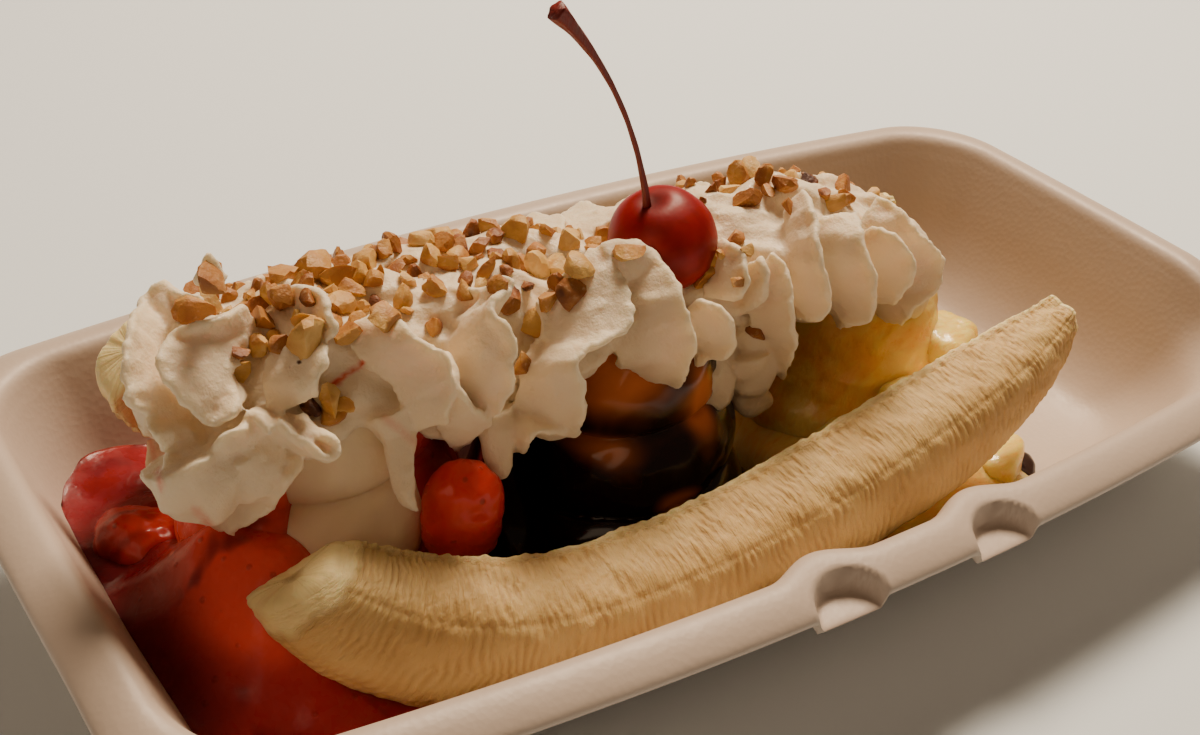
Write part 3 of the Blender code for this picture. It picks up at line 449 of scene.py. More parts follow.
def banana_finish():
    """Moist banana flesh: cross fibres between seams, with painted shade that browns the grooves, and paler
    on the cut, as cut flesh is, with painted light making the cut brighter still.
    """
    made = Finish(
        "banana_flesh",
        IOR=1.42,
        Subsurface_Weight=0.35,
        Subsurface_Radius=(1.0, 0.62, 0.25),
        Subsurface_Scale=0.002,
    )
    along, around = made.attribute("along"), made.attribute("around")
    cut, groove = made.attribute("cut"), made.attribute("groove")
    fibre_place = made.wire.node("CombineXYZ", {}, {"X": along * 1.1, "Y": around * 0.05, "Z": cut * 7.0})
    fibre = fibre_place.noise(1.0, 3.0, 0.6)
    cloud = made.place.noise(55.0, 3.0, 0.55)
    base = made.colour((0.64, 0.43, 0.17)).mix((0.73, 0.53, 0.23), cloud.between(0.3, 0.7))
    # painted shade: the grooves and seams are darkened to brown, broken up by the fibre noise
    base = base.mix((0.48, 0.28, 0.10), groove * (0.3 + 0.7 * fibre))
    # the cut faces take the pale colour of cut flesh, and are brighter still as painted light on faces the
    # lamps leave in shade
    base = base.mix((1.0, 0.82, 0.42), cut)
    made.feed(Base_Color=base, Roughness=0.42 + 0.25 * fibre)
    made.bump((fibre, 0.0006), (made.place.noise(1500.0, 2.0), 0.0001))
    return made.material


def soft_serve_finish():
    """Melting vanilla soft serve: smooth, wet here and there."""
    made = Finish(
        "vanilla_soft_serve",
        IOR=1.38,
        Subsurface_Weight=0.5,
        Subsurface_Radius=(1.0, 0.75, 0.4),
        Subsurface_Scale=0.003,
    )
    wet = made.place.noise(70.0, 2.0).between(0.45, 0.62)
    cloud = made.place.noise(40.0, 2.0)
    made.feed(
        Base_Color=made.colour((0.90, 0.69, 0.43)).mix((0.94, 0.79, 0.56), cloud),
        Roughness=0.5 - 0.32 * wet,
    )
    made.bump((made.place.noise(120.0, 3.0), 0.0004), (made.place.noise(900.0, 2.0), 0.00008))
    return made.material


def strawberry_finish(name, deep, bright, seeds, gloss):
    """Strawberry in its sauce: deep red where it is thick, brighter where thin and where painted light is
    marked, darker where painted shade is marked, with a few seeds, all wet.
    """
    made = Finish(
        name,
        IOR=1.38,
        Coat_Roughness=0.12,
        Coat_Weight=gloss,
        Specular_IOR_Level=0.2,
        Subsurface_Weight=0.6,
        Subsurface_Radius=(1.0, 0.2, 0.12),
        Subsurface_Scale=0.005,
    )
    cloud = made.place.noise(60.0, 3.0, 0.5, 0.4)
    # the thin numbers hold real thinning and the painted light of the listed spots and the high swells
    light = (made.attribute("thin") + 1.3 * (cloud - 0.42)).between(0.0, 0.95)
    base = made.colour(deep).mix(bright, light)
    dots = made.wire.node("TexVoronoi", {}, {"Vector": made.place, "Scale": 230.0})
    seed = 1.0 - dots.between(0.05, 0.16)
    base = base.mix((0.12, 0.02, 0.01), seed * seeds)
    base = base.mix((0.10, 0.004, 0.016), made.place.noise(95.0, 2.0, 0.5, 0.6).between(0.58, 0.74) * 0.7)
    # painted shade: the deep numbers darken the sauce along the left wall, next to the chocolate and on the
    # first berry
    base = base.mix((0.13, 0.004, 0.008), made.attribute("deep"))
    made.feed(Base_Color=base, Roughness=0.22 + 0.25 * made.place.noise(300.0, 2.0).between(0.4, 0.7))
    made.bump((made.place.noise(150.0, 3.0), 0.0006), (seed, 0.0002))
    return made.material


def chocolate_finish():
    """Chocolate syrup: almost black where it is thick, orange brown where the ice cream shows through and in
    the listed spots of painted light.
    """
    made = Finish("chocolate_syrup", IOR=1.45, Coat_Weight=0.2, Coat_Roughness=0.04, Specular_IOR_Level=0.3)
    cloud = made.place.noise(110.0, 2.0, 0.5, 0.3)
    # the thin numbers include the listed spots of painted light
    light = (made.attribute("thin") + 0.35 * (cloud - 0.5)).between(0.15, 1.0)
    base = made.colour((0.016, 0.005, 0.005)).mix((0.70, 0.20, 0.05), light)
    made.feed(Base_Color=base, Roughness=0.1 + 0.12 * made.place.noise(90.0, 2.0))
    made.bump((made.place.noise(60.0, 2.0), 0.0005))
    return made.material


def pineapple_finish(name, deep, bright):
    """Crushed pineapple: amber syrup or yellow flesh with short fibres."""
    made = Finish(
        name,
        IOR=1.4,
        Coat_Roughness=0.06,
        Coat_Weight=0.4,
        Subsurface_Weight=0.55,
        Subsurface_Radius=(1.0, 0.5, 0.14),
        Subsurface_Scale=0.005,
    )
    stretched = made.wire.node("Mapping", {}, {"Vector": made.place, "Scale": (1.0, 3.2, 1.4)})
    fibre = stretched.noise(220.0, 4.0, 0.6)
    cloud = made.place.noise(80.0, 3.0, 0.5, 0.5)
    base = made.colour(deep).mix(bright, (0.65 * cloud + 0.35 * fibre).between(0.35, 0.62))
    made.feed(Base_Color=base, Roughness=0.16 + 0.3 * fibre)
    made.bump((fibre, 0.0005), (cloud, 0.0009))
    return made.material


def cream_finish():
    """Whipped cream: fine, dull and slightly see-through at its thin edges."""
    made = Finish(
        "whipped_cream",
        IOR=1.36,
        Subsurface_Weight=0.55,
        Subsurface_Radius=(1.0, 0.82, 0.6),
        Subsurface_Scale=0.0025,
    )
    cloud = made.place.noise(45.0, 3.0)
    wet = made.place.noise(130.0, 2.0).between(0.5, 0.68)
    stain = made.attribute("stain") * (0.55 + 0.9 * made.place.noise(260.0, 2.0))
    base = made.colour((0.81, 0.67, 0.47)).mix((0.87, 0.755, 0.58), cloud)
    base = base.mix((0.70, 0.10, 0.06), stain.between(0.08, 1.0))
    base = base.mix((0.10, 0.04, 0.02), made.attribute("speck").between(0.3, 0.7))
    made.feed(Base_Color=base, Roughness=0.52 - 0.2 * wet)
    made.bump((made.place.noise(420.0, 4.0, 0.6), 0.00045), (made.place.noise(1900.0, 2.0), 0.0001))
    return made.material


def nut_finish():
    """Chopped roasted peanuts: tan to orange brown, paler on fresh breaks and dark where skin is left."""
    made = Finish(
        "roasted_nut",
        IOR=1.45,
        Subsurface_Weight=0.2,
        Subsurface_Radius=(1.0, 0.5, 0.2),
        Subsurface_Scale=0.0012,
    )
    tone = made.attribute("tone")
    grain = made.place.noise(700.0, 4.0, 0.6)
    patch = made.place.noise(230.0, 2.0)
    base = tone.node(
        "ValToRGB",
        {"stops": [
            (0.0, (0.06, 0.015, 0.008)), (1.0, (0.80, 0.58, 0.26)), (0.22, (0.28, 0.09, 0.02)),
            (0.5, (0.46, 0.21, 0.055)), (0.75, (0.66, 0.40, 0.12)),
        ]},
        {"Fac": (tone + 0.5 * (patch - 0.5))},
    )
    made.feed(Base_Color=base.mix((0.80, 0.60, 0.36), grain.between(0.56, 0.8) * 0.5))
    made.feed(Roughness=0.38 + 0.3 * grain)
    made.bump((grain, 0.0004))
    return made.material


def cherry_finish():
    """Candied cherry: deep clear red, darker by the stem as painted shade in the dimple, under a syrup gloss.
    """
    made = Finish(
        "cherry_skin",
        IOR=1.42,
        Coat_Weight=0.06,
        Coat_Roughness=0.25,
        Specular_IOR_Level=0.25,
        Subsurface_Weight=0.4,
        Subsurface_Radius=(1.0, 0.08, 0.05),
        Subsurface_Scale=0.003,
    )
    cloud = made.place.noise(120.0, 3.0, 0.5, 0.5)
    base = made.colour((0.22, 0.004, 0.006)).mix((0.36, 0.012, 0.012), cloud.between(0.35, 0.7))
    # painted shade in the dimple by the stem
    base = base.mix((0.10, 0.003, 0.003), made.attribute("dimple"))
    made.feed(Base_Color=base, Roughness=0.36 + 0.2 * made.place.noise(400.0, 2.0))
    made.bump((made.place.noise(180.0, 3.0), 0.0002))
    return made.material


def stem_finish():
    """Dyed stem: red brown with darker streaks along it."""
    made = Finish("cherry_stem", IOR=1.45)
    stretched = made.wire.node("Mapping", {}, {"Vector": made.place, "Scale": (3.0, 3.0, 0.6)})
    streak = stretched.noise(700.0, 3.0)
    made.feed(Base_Color=made.colour((0.09, 0.006, 0.005)).mix((0.24, 0.016, 0.010), streak))
    made.feed(Roughness=0.35 + 0.3 * streak)
    made.bump((streak, 0.0002))
    return made.material


FINISHES = {
    "white_foam": foam_finish(),
    "banana_flesh": banana_finish(),
    "vanilla_soft_serve": soft_serve_finish(),
    "strawberry_sauce": strawberry_finish(
        "strawberry_sauce", (0.40, 0.026, 0.034), (0.92, 0.105, 0.085), seeds=0.3, gloss=0.12
    ),
    "strawberry_piece": strawberry_finish(
        "strawberry_piece", (0.72, 0.050, 0.040), (0.93, 0.17, 0.10), seeds=0.4, gloss=0.3
    ),
    "chocolate_syrup": chocolate_finish(),
    "pineapple_sauce": pineapple_finish("pineapple_sauce", (0.94, 0.47, 0.12), (0.97, 0.68, 0.22)),
    "pineapple_piece": pineapple_finish("pineapple_piece", (0.90, 0.62, 0.12), (0.95, 0.80, 0.26)),
    "whipped_cream": cream_finish(),
    "roasted_nut": nut_finish(),
    "cherry_skin": cherry_finish(),
    "cherry_stem": stem_finish(),
}


# shape helpers


def smooth_curve(points, count):
    """Catmull-Rom curve through the points, resampled so that its count places are evenly far apart."""
    p = np.asarray(points, float)
    ends = np.vstack([2 * p[0] - p[1], p, 2 * p[-1] - p[-2]])
    t = np.linspace(0, len(p) - 1, 40 * (len(p) - 1) + 1)
    k = np.minimum(t.astype(int), len(p) - 2)
    u = (t - k)[:, None]
    a, b, c, d = ends[k], ends[k + 1], ends[k + 2], ends[k + 3]
    path = 0.5 * (2 * b + (c - a) * u + (2 * a - 5 * b + 4 * c - d) * u**2 + (3 * b - a - 3 * c + d) * u**3)
    length = np.concatenate([[0.0], np.cumsum(np.linalg.norm(np.diff(path, axis=0), axis=1))])
    places = np.linspace(0.0, length[-1], count)
    return np.stack([np.interp(places, length, axis) for axis in path.T], axis=1)


def unit(vectors):
    """Vectors along the last axis, made 1 long."""
    return vectors / np.maximum(np.linalg.norm(vectors, axis=-1, keepdims=True), 1e-6)


def smoothstep(low, high, value):
    """0 below low, 1 above high, 3t^2 - 2t^3 between."""
    t = np.clip((value - low) / (high - low), 0.0, 1.0)
    return t * t * (3.0 - 2.0 * t)


def ripple(points, size, seed, waves=14):
    """Soft unevenness of about -1 to 1: a sum of sine waves in random directions, with lengths near size."""
    draw = np.random.default_rng(seed)
    way = unit(draw.normal(size=(waves, 3)))
    way *= (2 * math.pi / (size * draw.uniform(0.6, 1.7, waves)))[:, None]
    start = draw.uniform(0, 2 * math.pi, waves)
    return np.sin(np.asarray(points) @ way.T + start).sum(axis=-1) / math.sqrt(waves)


def grid_faces(rows, cols, closed=False):
    """Four-sided faces of a grid of points, whose rows are joined round to rings where they are closed."""
    i, j = np.meshgrid(np.arange(rows - 1), np.arange(cols - (not closed)), indexing="ij")
    up, on = i + 1, (j + 1) % cols
    return np.stack([i * cols + j, i * cols + on, up * cols + on, up * cols + j], axis=-1).reshape(-1, 4)


def tube(rings):
    """Points and faces of closed rings joined in a row, with a fan to one point on each end."""
    rings = np.asarray(rings, float)
    rows, cols = rings.shape[:2]
    points = np.vstack([rings.reshape(-1, 3), rings[0].mean(axis=0), rings[-1].mean(axis=0)])
    j = np.arange(cols)
    k, last = (j + 1) % cols, (rows - 1) * cols
    first_fan = np.stack([np.full(cols, rows * cols), k, j], axis=1)
    last_fan = np.stack([np.full(cols, rows * cols + 1), last + j, last + k], axis=1)
    return points, grid_faces(rows, cols, closed=True).tolist() + first_fan.tolist() + last_fan.tolist()


def slab(top, under):
    """Points and faces of a sheet with a wall round its rim, between two grids of the same shape."""
    rows, cols = top.shape[:2]
    count = rows * cols
    faces = grid_faces(rows, cols)
    i, j = np.arange(rows), np.arange(cols)
    rim = np.concatenate([j[:-1], i[:-1] * cols + cols - 1, (rows - 1) * cols + j[:0:-1], i[:0:-1] * cols])
    on = np.roll(rim, -1)
    wall = np.stack([rim, rim + count, on + count, on], axis=1)
    points = np.vstack([top.reshape(-1, 3), under.reshape(-1, 3)])
    return points, np.vstack([faces, faces[:, ::-1] + count, wall]).tolist()


def on_top(values):
    """Numbers for a slab's points: these values on its top, and 0 on its underside."""
    return np.concatenate([values.ravel(), 0 * values.ravel()])


def rings_along(path, sideways, radii, flat=1.0):
    """Rings square to a path: radii has a row for each ring, and flat squashes them across their side way."""
    a = np.linspace(0, 2 * math.pi, radii.shape[1], endpoint=False)[None, :, None]
    ahead = unit(np.gradient(path, axis=0))
    side = unit(np.cross(ahead, sideways))
    up = np.cross(side, ahead)
    return path[:, None] + radii[..., None] * (np.cos(a) * side[:, None] + flat * np.sin(a) * up[:, None])


def holds(points, faces):
    """Six times the volume inside the faces, by fans from each face's first corner."""
    four = np.array([f if len(f) == 4 else (*f, f[2]) for f in faces])
    a, b, c, d = (points[four[:, n]] for n in range(4))
    return (np.cross(b, c) * a).sum() + (np.cross(c, d) * a).sum()


def write_numbers(mesh, label, values):
    made = mesh.attributes.new(label, "FLOAT", "POINT")
    made.data.foreach_set("value", np.asarray(values, np.float32).ravel())


def piece(name, points, faces, finish, numbers=None):
    """One object from points in millimetres; numbers are values per point that its finish reads."""
    points = np.asarray(points, float)
    if holds(points, faces) < 0:
        faces = [face[::-1] for face in faces]
    mesh = bpy.data.meshes.new(name)
    mesh.from_pydata((points * MM).tolist(), [], faces)
    mesh.polygons.foreach_set("use_smooth", np.full(len(mesh.polygons), True))
    for label, values in (numbers or {}).items():
        write_numbers(mesh, label, values)
    mesh.materials.append(FINISHES[finish])
    mesh.update()
    obj = bpy.data.objects.new(name, mesh)
    bpy.context.scene.collection.objects.link(obj)
    return obj


def dress(obj, slot, *nodes):
    """Every piece rides on the one body and takes the place of its nodes; the slot is not used."""
    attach(obj, "root")
    if nodes:
        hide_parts(*nodes)


def wall_inset(z):
    """Inset of the tray's inner wall at this height."""
    inside = sorted((height, inset) for inset, height in INSIDE)
    return np.interp(z, [p[0] for p in inside], [p[1] for p in inside])


def keep_in_tray(points, gap=0.5):
    """Points past the tray's inner wall or floor are drawn in to it, less the gap."""
    x, y, z = np.moveaxis(np.array(points, float), -1, 0)
    z = np.maximum(z, FLOOR_Z + gap)
    inset = wall_inset(z) + gap
    low = z < LIP_TOP
    side = HALF_WIDTH + SIDE_BOW * (1.0 - (x / HALF_LENGTH) ** 2) - inset
    end = HALF_LENGTH + END_BOW * (1.0 - (y / HALF_WIDTH) ** 2) - inset
    y = np.where(low, np.clip(y, -side, side), y)
    x = np.where(low, np.clip(x, -end, end), x)
    return np.stack([x, y, z], axis=-1)


# tray


def tray_plan(inset, near=300):
    """Rounded rectangles, one a row: the sides bow out by a parabola, the near one swells at the latches."""
    inset = np.asarray(inset, float)[:, None]
    hx, hy = HALF_LENGTH - inset, HALF_WIDTH - inset
    corner = np.maximum(CORNER - 0.3 * inset, 8.0)
    full, run = HALF_LENGTH - CORNER, hx - corner
    full_until = 60.0

    def along(share):
        x = share * full
        past = np.maximum(np.abs(x) - full_until, 0.0) / (full - full_until)
        return np.sign(x) * (np.abs(x) - past * (full - run))

    def turn(cx, cy, start):
        a = np.radians(start + np.linspace(0, 90, 22, endpoint=False))[None]
        return cx + corner * np.cos(a), cy + corner * np.sin(a)

    side = np.linspace(-1, 1, near, endpoint=False)[None]
    far_side = np.linspace(1, -1, 90, endpoint=False)[None]
    end = np.linspace(-1, 1, 46, endpoint=False)[None]
    flat = np.ones_like(inset)
    parts = [
        (along(side), -hy * np.ones_like(side)),
        turn(run, -(hy - corner), -90),
        (hx * np.ones_like(end), (hy - corner) * end),
        turn(run, hy - corner, 0),
        (along(far_side), hy * np.ones_like(far_side)),
        turn(-run, hy - corner, 90),
        (-hx * np.ones_like(end), -(hy - corner) * end),
        turn(-run, -(hy - corner), 180),
    ]
    x = np.concatenate([flat * p[0] for p in parts], axis=1)
    y = np.concatenate([flat * p[1] for p in parts], axis=1)
    x, y = (
        x * (1 + END_BOW / hx * (1 - (y / HALF_WIDTH) ** 2)),
        y * (1 + SIDE_BOW / hy * (1 - (x / HALF_LENGTH) ** 2)),
    )
    depth = LATCH_BULGE * np.interp(inset, LATCH_BULGE_INSETS, LATCH_BULGE_SHARES)
    for centre in LATCH_X:
        t = np.clip(np.abs(x[:, :near] - centre) / (LATCH_RADIUS * 1.65), 0, 1)
        y[:, :near] += depth * (0.5 + 0.5 * np.cos(math.pi * t))
    return x, y


def foam_tray():
    """The profile runs under the floor, up the outside, over the lip and down inside, round the whole plan.

    The near side's rim and upper wall lie lower by soft steps in y and in height, and more so towards +x.
    """
    outer = smooth_curve(OUTSIDE + LIP_UNDER, 34)
    lip = smooth_curve(LIP_UNDER[-1:] + LIP + INSIDE[:1], 34)[1:-1]
    inner = smooth_curve(INSIDE, 26)
    profile = np.vstack([outer, lip, inner])
    x, y = tray_plan(profile[:, 0])
    height = z = np.repeat(profile[:, 1:2], x.shape[1], axis=1)
    top_side = (np.arange(len(profile)) >= len(outer))[:, None]
    for centre in LATCH_X:
        edge = -(HALF_WIDTH + SIDE_BOW * (1 - (centre / HALF_LENGTH) ** 2))
        cup = np.hypot((x - centre) / LATCH_RADIUS, (y - edge) / (LATCH_RADIUS - 0.6))
        shell = np.hypot((x - centre) / (LATCH_RADIUS + 0.5), (y - edge) / (LATCH_RADIUS + 0.5))
        dip = (1 - smoothstep(0.9, 1.1, cup)) * (z > LATCH_FLOOR) * top_side
        bag = (1 - smoothstep(0.9, 1.1, shell)) * (z > LATCH_UNDER) * ~top_side
        z = z + (LATCH_FLOOR + 0.3 * (z - 34.0) - z) * dip + (LATCH_UNDER + 0.3 * (z - 31.5) - z) * bag
    z = z - (NEAR_DROP + NEAR_TILT * x) * smoothstep(20.0, 50.0, -y) * smoothstep(18.0, 32.0, height)
    rings = np.stack([x, y, z], axis=-1)
    shrink = np.array([0.2, 0.4, 0.6, 0.8])[:, None, None]
    shrink = np.concatenate([shrink, shrink, np.ones_like(shrink)], axis=2)
    under, floor = rings[0] * shrink, rings[-1] * shrink[::-1]
    dress(piece("foam_tray", *tube(np.vstack([under, rings, floor])), "white_foam"), "white_foam", "tray")


# bananas


def banana_line(rows):
    """The banana's middle line at each ring, with the ways of its flat face and across it, and its radius.

    The line's turn is a cubic in s, which runs from -1 to 1, and the radius tapers as 1 - t^2 at both ends.
    """
    a0, a1, a2, a3 = BANANA_TURN
    s = np.linspace(-1.0, 1.0, rows)
    turn = a0 + a1 * s + a2 * s**2 + a3 * s**3
    step = BANANA_LENGTH / (rows - 1)
    run = np.concatenate([[0.0], np.cumsum(np.cos(turn[:-1]) * step)])
    rise = np.concatenate([[0.0], np.cumsum(np.sin(turn[:-1]) * step)])
    run, rise = run - np.interp(0, s, run), rise - np.interp(0, s, rise)
    lift = np.array([0.0, math.cos(BEND_PLANE), math.sin(BEND_PLANE)])
    inward = np.array([0.0, math.sin(BEND_PLANE), -math.cos(BEND_PLANE)])
    centre = np.outer(run, [1, 0, 0]) + np.outer(rise, lift) + np.array(BANANA_MIDDLE)
    across = np.outer(-np.sin(turn), [1, 0, 0]) + np.outer(np.cos(turn), lift)
    c, n = math.cos(FACE_TURN), math.sin(FACE_TURN)
    face = inward * c + across * n
    across = across * c - inward * n
    radius = BANANA_RADIUS * (1 - LEFT_TAPER * np.clip((-s - 0.55) / 0.45, 0, 1) ** 2)
    radius *= 1 - RIGHT_TAPER * np.clip((s - 0.45) / 0.55, 0, 1) ** 2
    radius *= 1 - CUT_BEVEL * np.clip(1 - (s + 1) / 2 * BANANA_LENGTH / 4.2, 0, 1) ** 1.3
    return s, centre, face, across, radius


def banana_section(angle, flat):
    """Half of a rounded pentagon closed by a flat face, with its corners softened, and its outward ways."""
    swell = 1 + 0.035 * np.cos(5 * (angle - math.radians(62)))
    section = np.stack([swell * np.cos(angle), 1.02 * swell * np.sin(angle)], axis=1)
    section = np.vstack([section, np.linspace(section[-1], section[0], flat + 2)[1:-1]])
    weight = np.exp(-0.5 * (np.arange(-6, 7) / 2.4) ** 2)
    section = sum(w * np.roll(section, k, axis=0) for w, k in zip(weight / weight.sum(), range(-6, 7)))
    tangent = unit(np.roll(section, -1, axis=0) - np.roll(section, 1, axis=0))
    return section, np.stack([tangent[:, 1], -tangent[:, 0]], axis=1)


def banana_relief(u, w, back, core, seed):
    """How far the skin side stands out at u along and w degrees round, where painted shade darkens its
    grooves, and where it is cut.

    Ribs are cosines of u, shifted from seam to seam and patchy; seams are bells in w; one string lies across.
    """
    band = np.searchsorted((30.0, 62.0, 98.0, 134.0), w[0])[None]
    wander = 0.9 * np.sin(u / 9.1 + band * 2.0 + seed) + 0.5 * np.sin(u / 3.7 + band * 1.3)
    sheet = np.stack(np.broadcast_arrays(u, w * 0.22, 0 * u * w), axis=-1)
    shifted = (u + wander + 0.022 * np.abs(w - 98.0)) / RIB_STEP + band * 0.37
    phase = shifted + 0.3 * ripple(sheet, 7.0, seed + 5)
    ribs = (0.5 + 0.5 * np.cos(2 * math.pi * phase)) ** 1.3
    patchy = np.clip(0.5 + 0.5 * ripple(sheet, 5.0, seed + 6), 0.08, 1.1)
    groove = np.zeros_like(ribs)
    for place in BANANA_SEAMS:
        groove = groove + np.exp(-(((w - place - 1.6 * np.sin(u / 13.0)) / 2.2) ** 2))
    strip = 1 - smoothstep(2.8, 5.2, u + 0.4 * np.sin(w / 7.0) + 0.2 * np.sin(w / 2.9))
    ribs = ribs * (1 - strip) * (1 - 0.6 * np.minimum(groove, 1.0))
    press = (-RIB_DEPTH * ribs * patchy - 0.12 * strip) * back - SEAM_DEPTH * groove * back * (1 - strip)
    press = press + 0.18 * ripple(sheet, 6.0, seed) + 0.04 * ripple(sheet, 1.6, seed + 1) * back
    edge = np.exp(-(((w - 9.0) / 8.0) ** 2)) + np.exp(-(((w - 172.0) / 7.0) ** 2))
    press = press + 0.3 * edge * ripple(sheet, 1.5, seed + 2)
    string = STRING_AT + 2.2 * np.sin(w / 8.0) + 0.8 * np.sin(w / 3.1)
    string = 0.5 * np.exp(-(((u - string) / 0.55) ** 2)) * smoothstep(58, 66, w)
    press = press + string * (1 - smoothstep(20, 40, 98 - w)) * (w < 170)
    press = press - 0.3 * core * (0.6 + 0.4 * np.sin(u * 1.9))
    # painted shade for the rib grooves and seams, read by the banana's finish
    groove_shade = (0.8 * ribs * patchy + 0.35 * groove * (1 - strip)) * back
    return press, groove_shade, np.maximum(1.0 - back[None], strip)


def slanted(rings, centre, ahead, mm):
    """The left end's cut faces the camera more: rings near it slide along the banana, the more the nearer."""
    toward = unit(np.array(CAMERA_PLACE) - centre[0]) + np.array([0.0, 0.0, 0.55])
    toward = toward - ahead[0] * (toward @ ahead[0])
    near = np.clip(((rings - centre[:, None]) @ toward) / BANANA_RADIUS + 0.6, 0.0, 1.6) + 0.7
    return rings + CUT_SLANT * (near * np.exp(-mm / 14.0)[:, None])[..., None] * ahead[:, None]


def cut_end(ring, way, bulge, seed):
    """Rings that close an end: each is the last ring drawn in to a share and moved out, with a rough face."""
    out, size = (np.array(CUT_END)[:, n, None, None] for n in range(2))
    middle = ring.mean(axis=0)
    rough = 0.15 * ripple(ring, 2.2, seed)[None, :, None] * (1 - out * 0.6)
    return middle + (ring - middle) * size + (out * bulge + rough) * way


def banana_half(side, name, seed):
    """Half a banana: a section carried along a bent line, with ribs and seams pressed in and both ends cut.

    Side is -1 for the near half. The far half's left end rises and reaches further out as t^1.5.
    """
    rows, arc, flat = 620, 92, 34
    s, centre, face, across, radius = banana_line(rows)
    ahead = np.cross(face, across)
    angle = np.linspace(0.0, math.pi, arc)
    section, out = banana_section(angle, flat)
    count = len(section)
    degrees = np.concatenate([np.degrees(angle), np.full(flat, 200.0)])
    back = smoothstep(2, 14, degrees) * (1 - smoothstep(168, 178, degrees))
    mm = (s + 1) / 2 * BANANA_LENGTH
    u, w = mm[:, None], degrees[None]
    core = np.exp(-(((np.arange(count) - arc - flat / 2) / 3.0) ** 2))[None] * (w > 190)
    press, groove_shade, cut = banana_relief(u, w, back, core, seed)

    reach = radius[:, None, None] * section[None] + press[..., None] * out[None]
    rings = centre[:, None] + reach[..., :1] * across[:, None] - reach[..., 1:] * face[:, None]
    if side < 0:
        rings = slanted(rings, centre, ahead, mm)
    left = cut_end(rings[0], -ahead[0], LEFT_BULGE, seed)
    right = cut_end(rings[-1], ahead[-1], RIGHT_BULGE, seed - 1)
    rings = np.vstack([left[::-1], rings, right])
    limit = HALF_WIDTH + SIDE_BOW * (1 - (rings[..., 0] / HALF_LENGTH) ** 2)
    limit = limit - wall_inset(np.maximum(rings[..., 2], FLOOR_Z)) - 0.6
    rings[..., 1] = np.where(rings[..., 2] < LIP_TOP, np.maximum(rings[..., 1], -limit), rings[..., 1])
    rings[..., 2] = np.maximum(rings[..., 2], FLOOR_Z + 0.6)
    rings[..., 1] *= -side
    caps = len(CUT_END)
    if side > 0:
        s = np.pad(s, caps, mode="edge")
        moved = (np.clip(-s - 0.3, 0.0, 0.7) / 0.7)[:, None] ** 1.5
        rings[..., 2] += FAR_BANANA_RISE * moved
        rings[..., 0] -= FAR_BANANA_REACH * moved

    edges = ((caps, caps), (0, 0))
    numbers = {
        "along": np.pad(np.repeat(u, count, axis=1), edges, mode="edge"),
        "around": np.pad(np.repeat(w, rows, axis=0), edges, mode="edge"),
        "groove": np.pad(groove_shade, edges),
        "cut": np.pad(cut, edges, constant_values=1.0),
    }
    numbers = {label: np.append(values.ravel(), (0.0, 0.0)) for label, values in numbers.items()}
    obj = piece(name, *tube(rings), "banana_flesh", numbers)
    dress(obj, "banana_flesh", name.replace("_half", ""))


# soft serve


def mound_radius(spec, share, a, fill=0.0):
    """Radius of a spiral of soft tiers: a taper times a rounded step that climbs once per turn.

    Its grooves are filled to the share that fill gives.
    """
    _, _, base, top, _, tiers, phase = spec
    taper = base + (top - base) * share**1.5
    cap = np.sqrt(np.maximum(0.02, 1.0 - (np.maximum(share - 0.86, 0.0) / 0.14) ** 2 * 0.97))
    climb = share * tiers - a / (2 * math.pi) + phase
    return taper * cap * (0.81 + 0.19 * np.maximum(np.abs(np.sin(math.pi * climb)) ** 0.5, fill))


def mound_place(spec, share, a, lift=0.0, fill=0.0):
    """A point on a mound at this share of its height and this angle, raised outwards by lift."""
    radius = mound_radius(spec, share, a, fill) + lift
    z = FLOOR_Z + 0.3 + (spec[4] - FLOOR_Z - 0.3) * share
    return np.stack([spec[0] + radius * np.cos(a), spec[1] + radius * np.sin(a), z + 0 * a], axis=-1)


def soft_serve(name, spec, seed):
    """A mound of rings from its foot to its top, with broad and small soft unevenness."""
    share, a = np.linspace(0, 1, 170), np.linspace(0, 2 * math.pi, 220, endpoint=False)
    share, a = np.meshgrid(share, a, indexing="ij")
    points = mound_place(spec, share, a)
    lift = 0.35 * ripple(points, 16.0, seed) + 0.12 * ripple(points, 5.0, seed + 1)
    points = keep_in_tray(mound_place(spec, share, a, lift))
    obj = piece(name.replace("ice_cream", "soft_serve"), *tube(points), "vanilla_soft_serve")
    dress(obj, "vanilla_soft_serve", name)


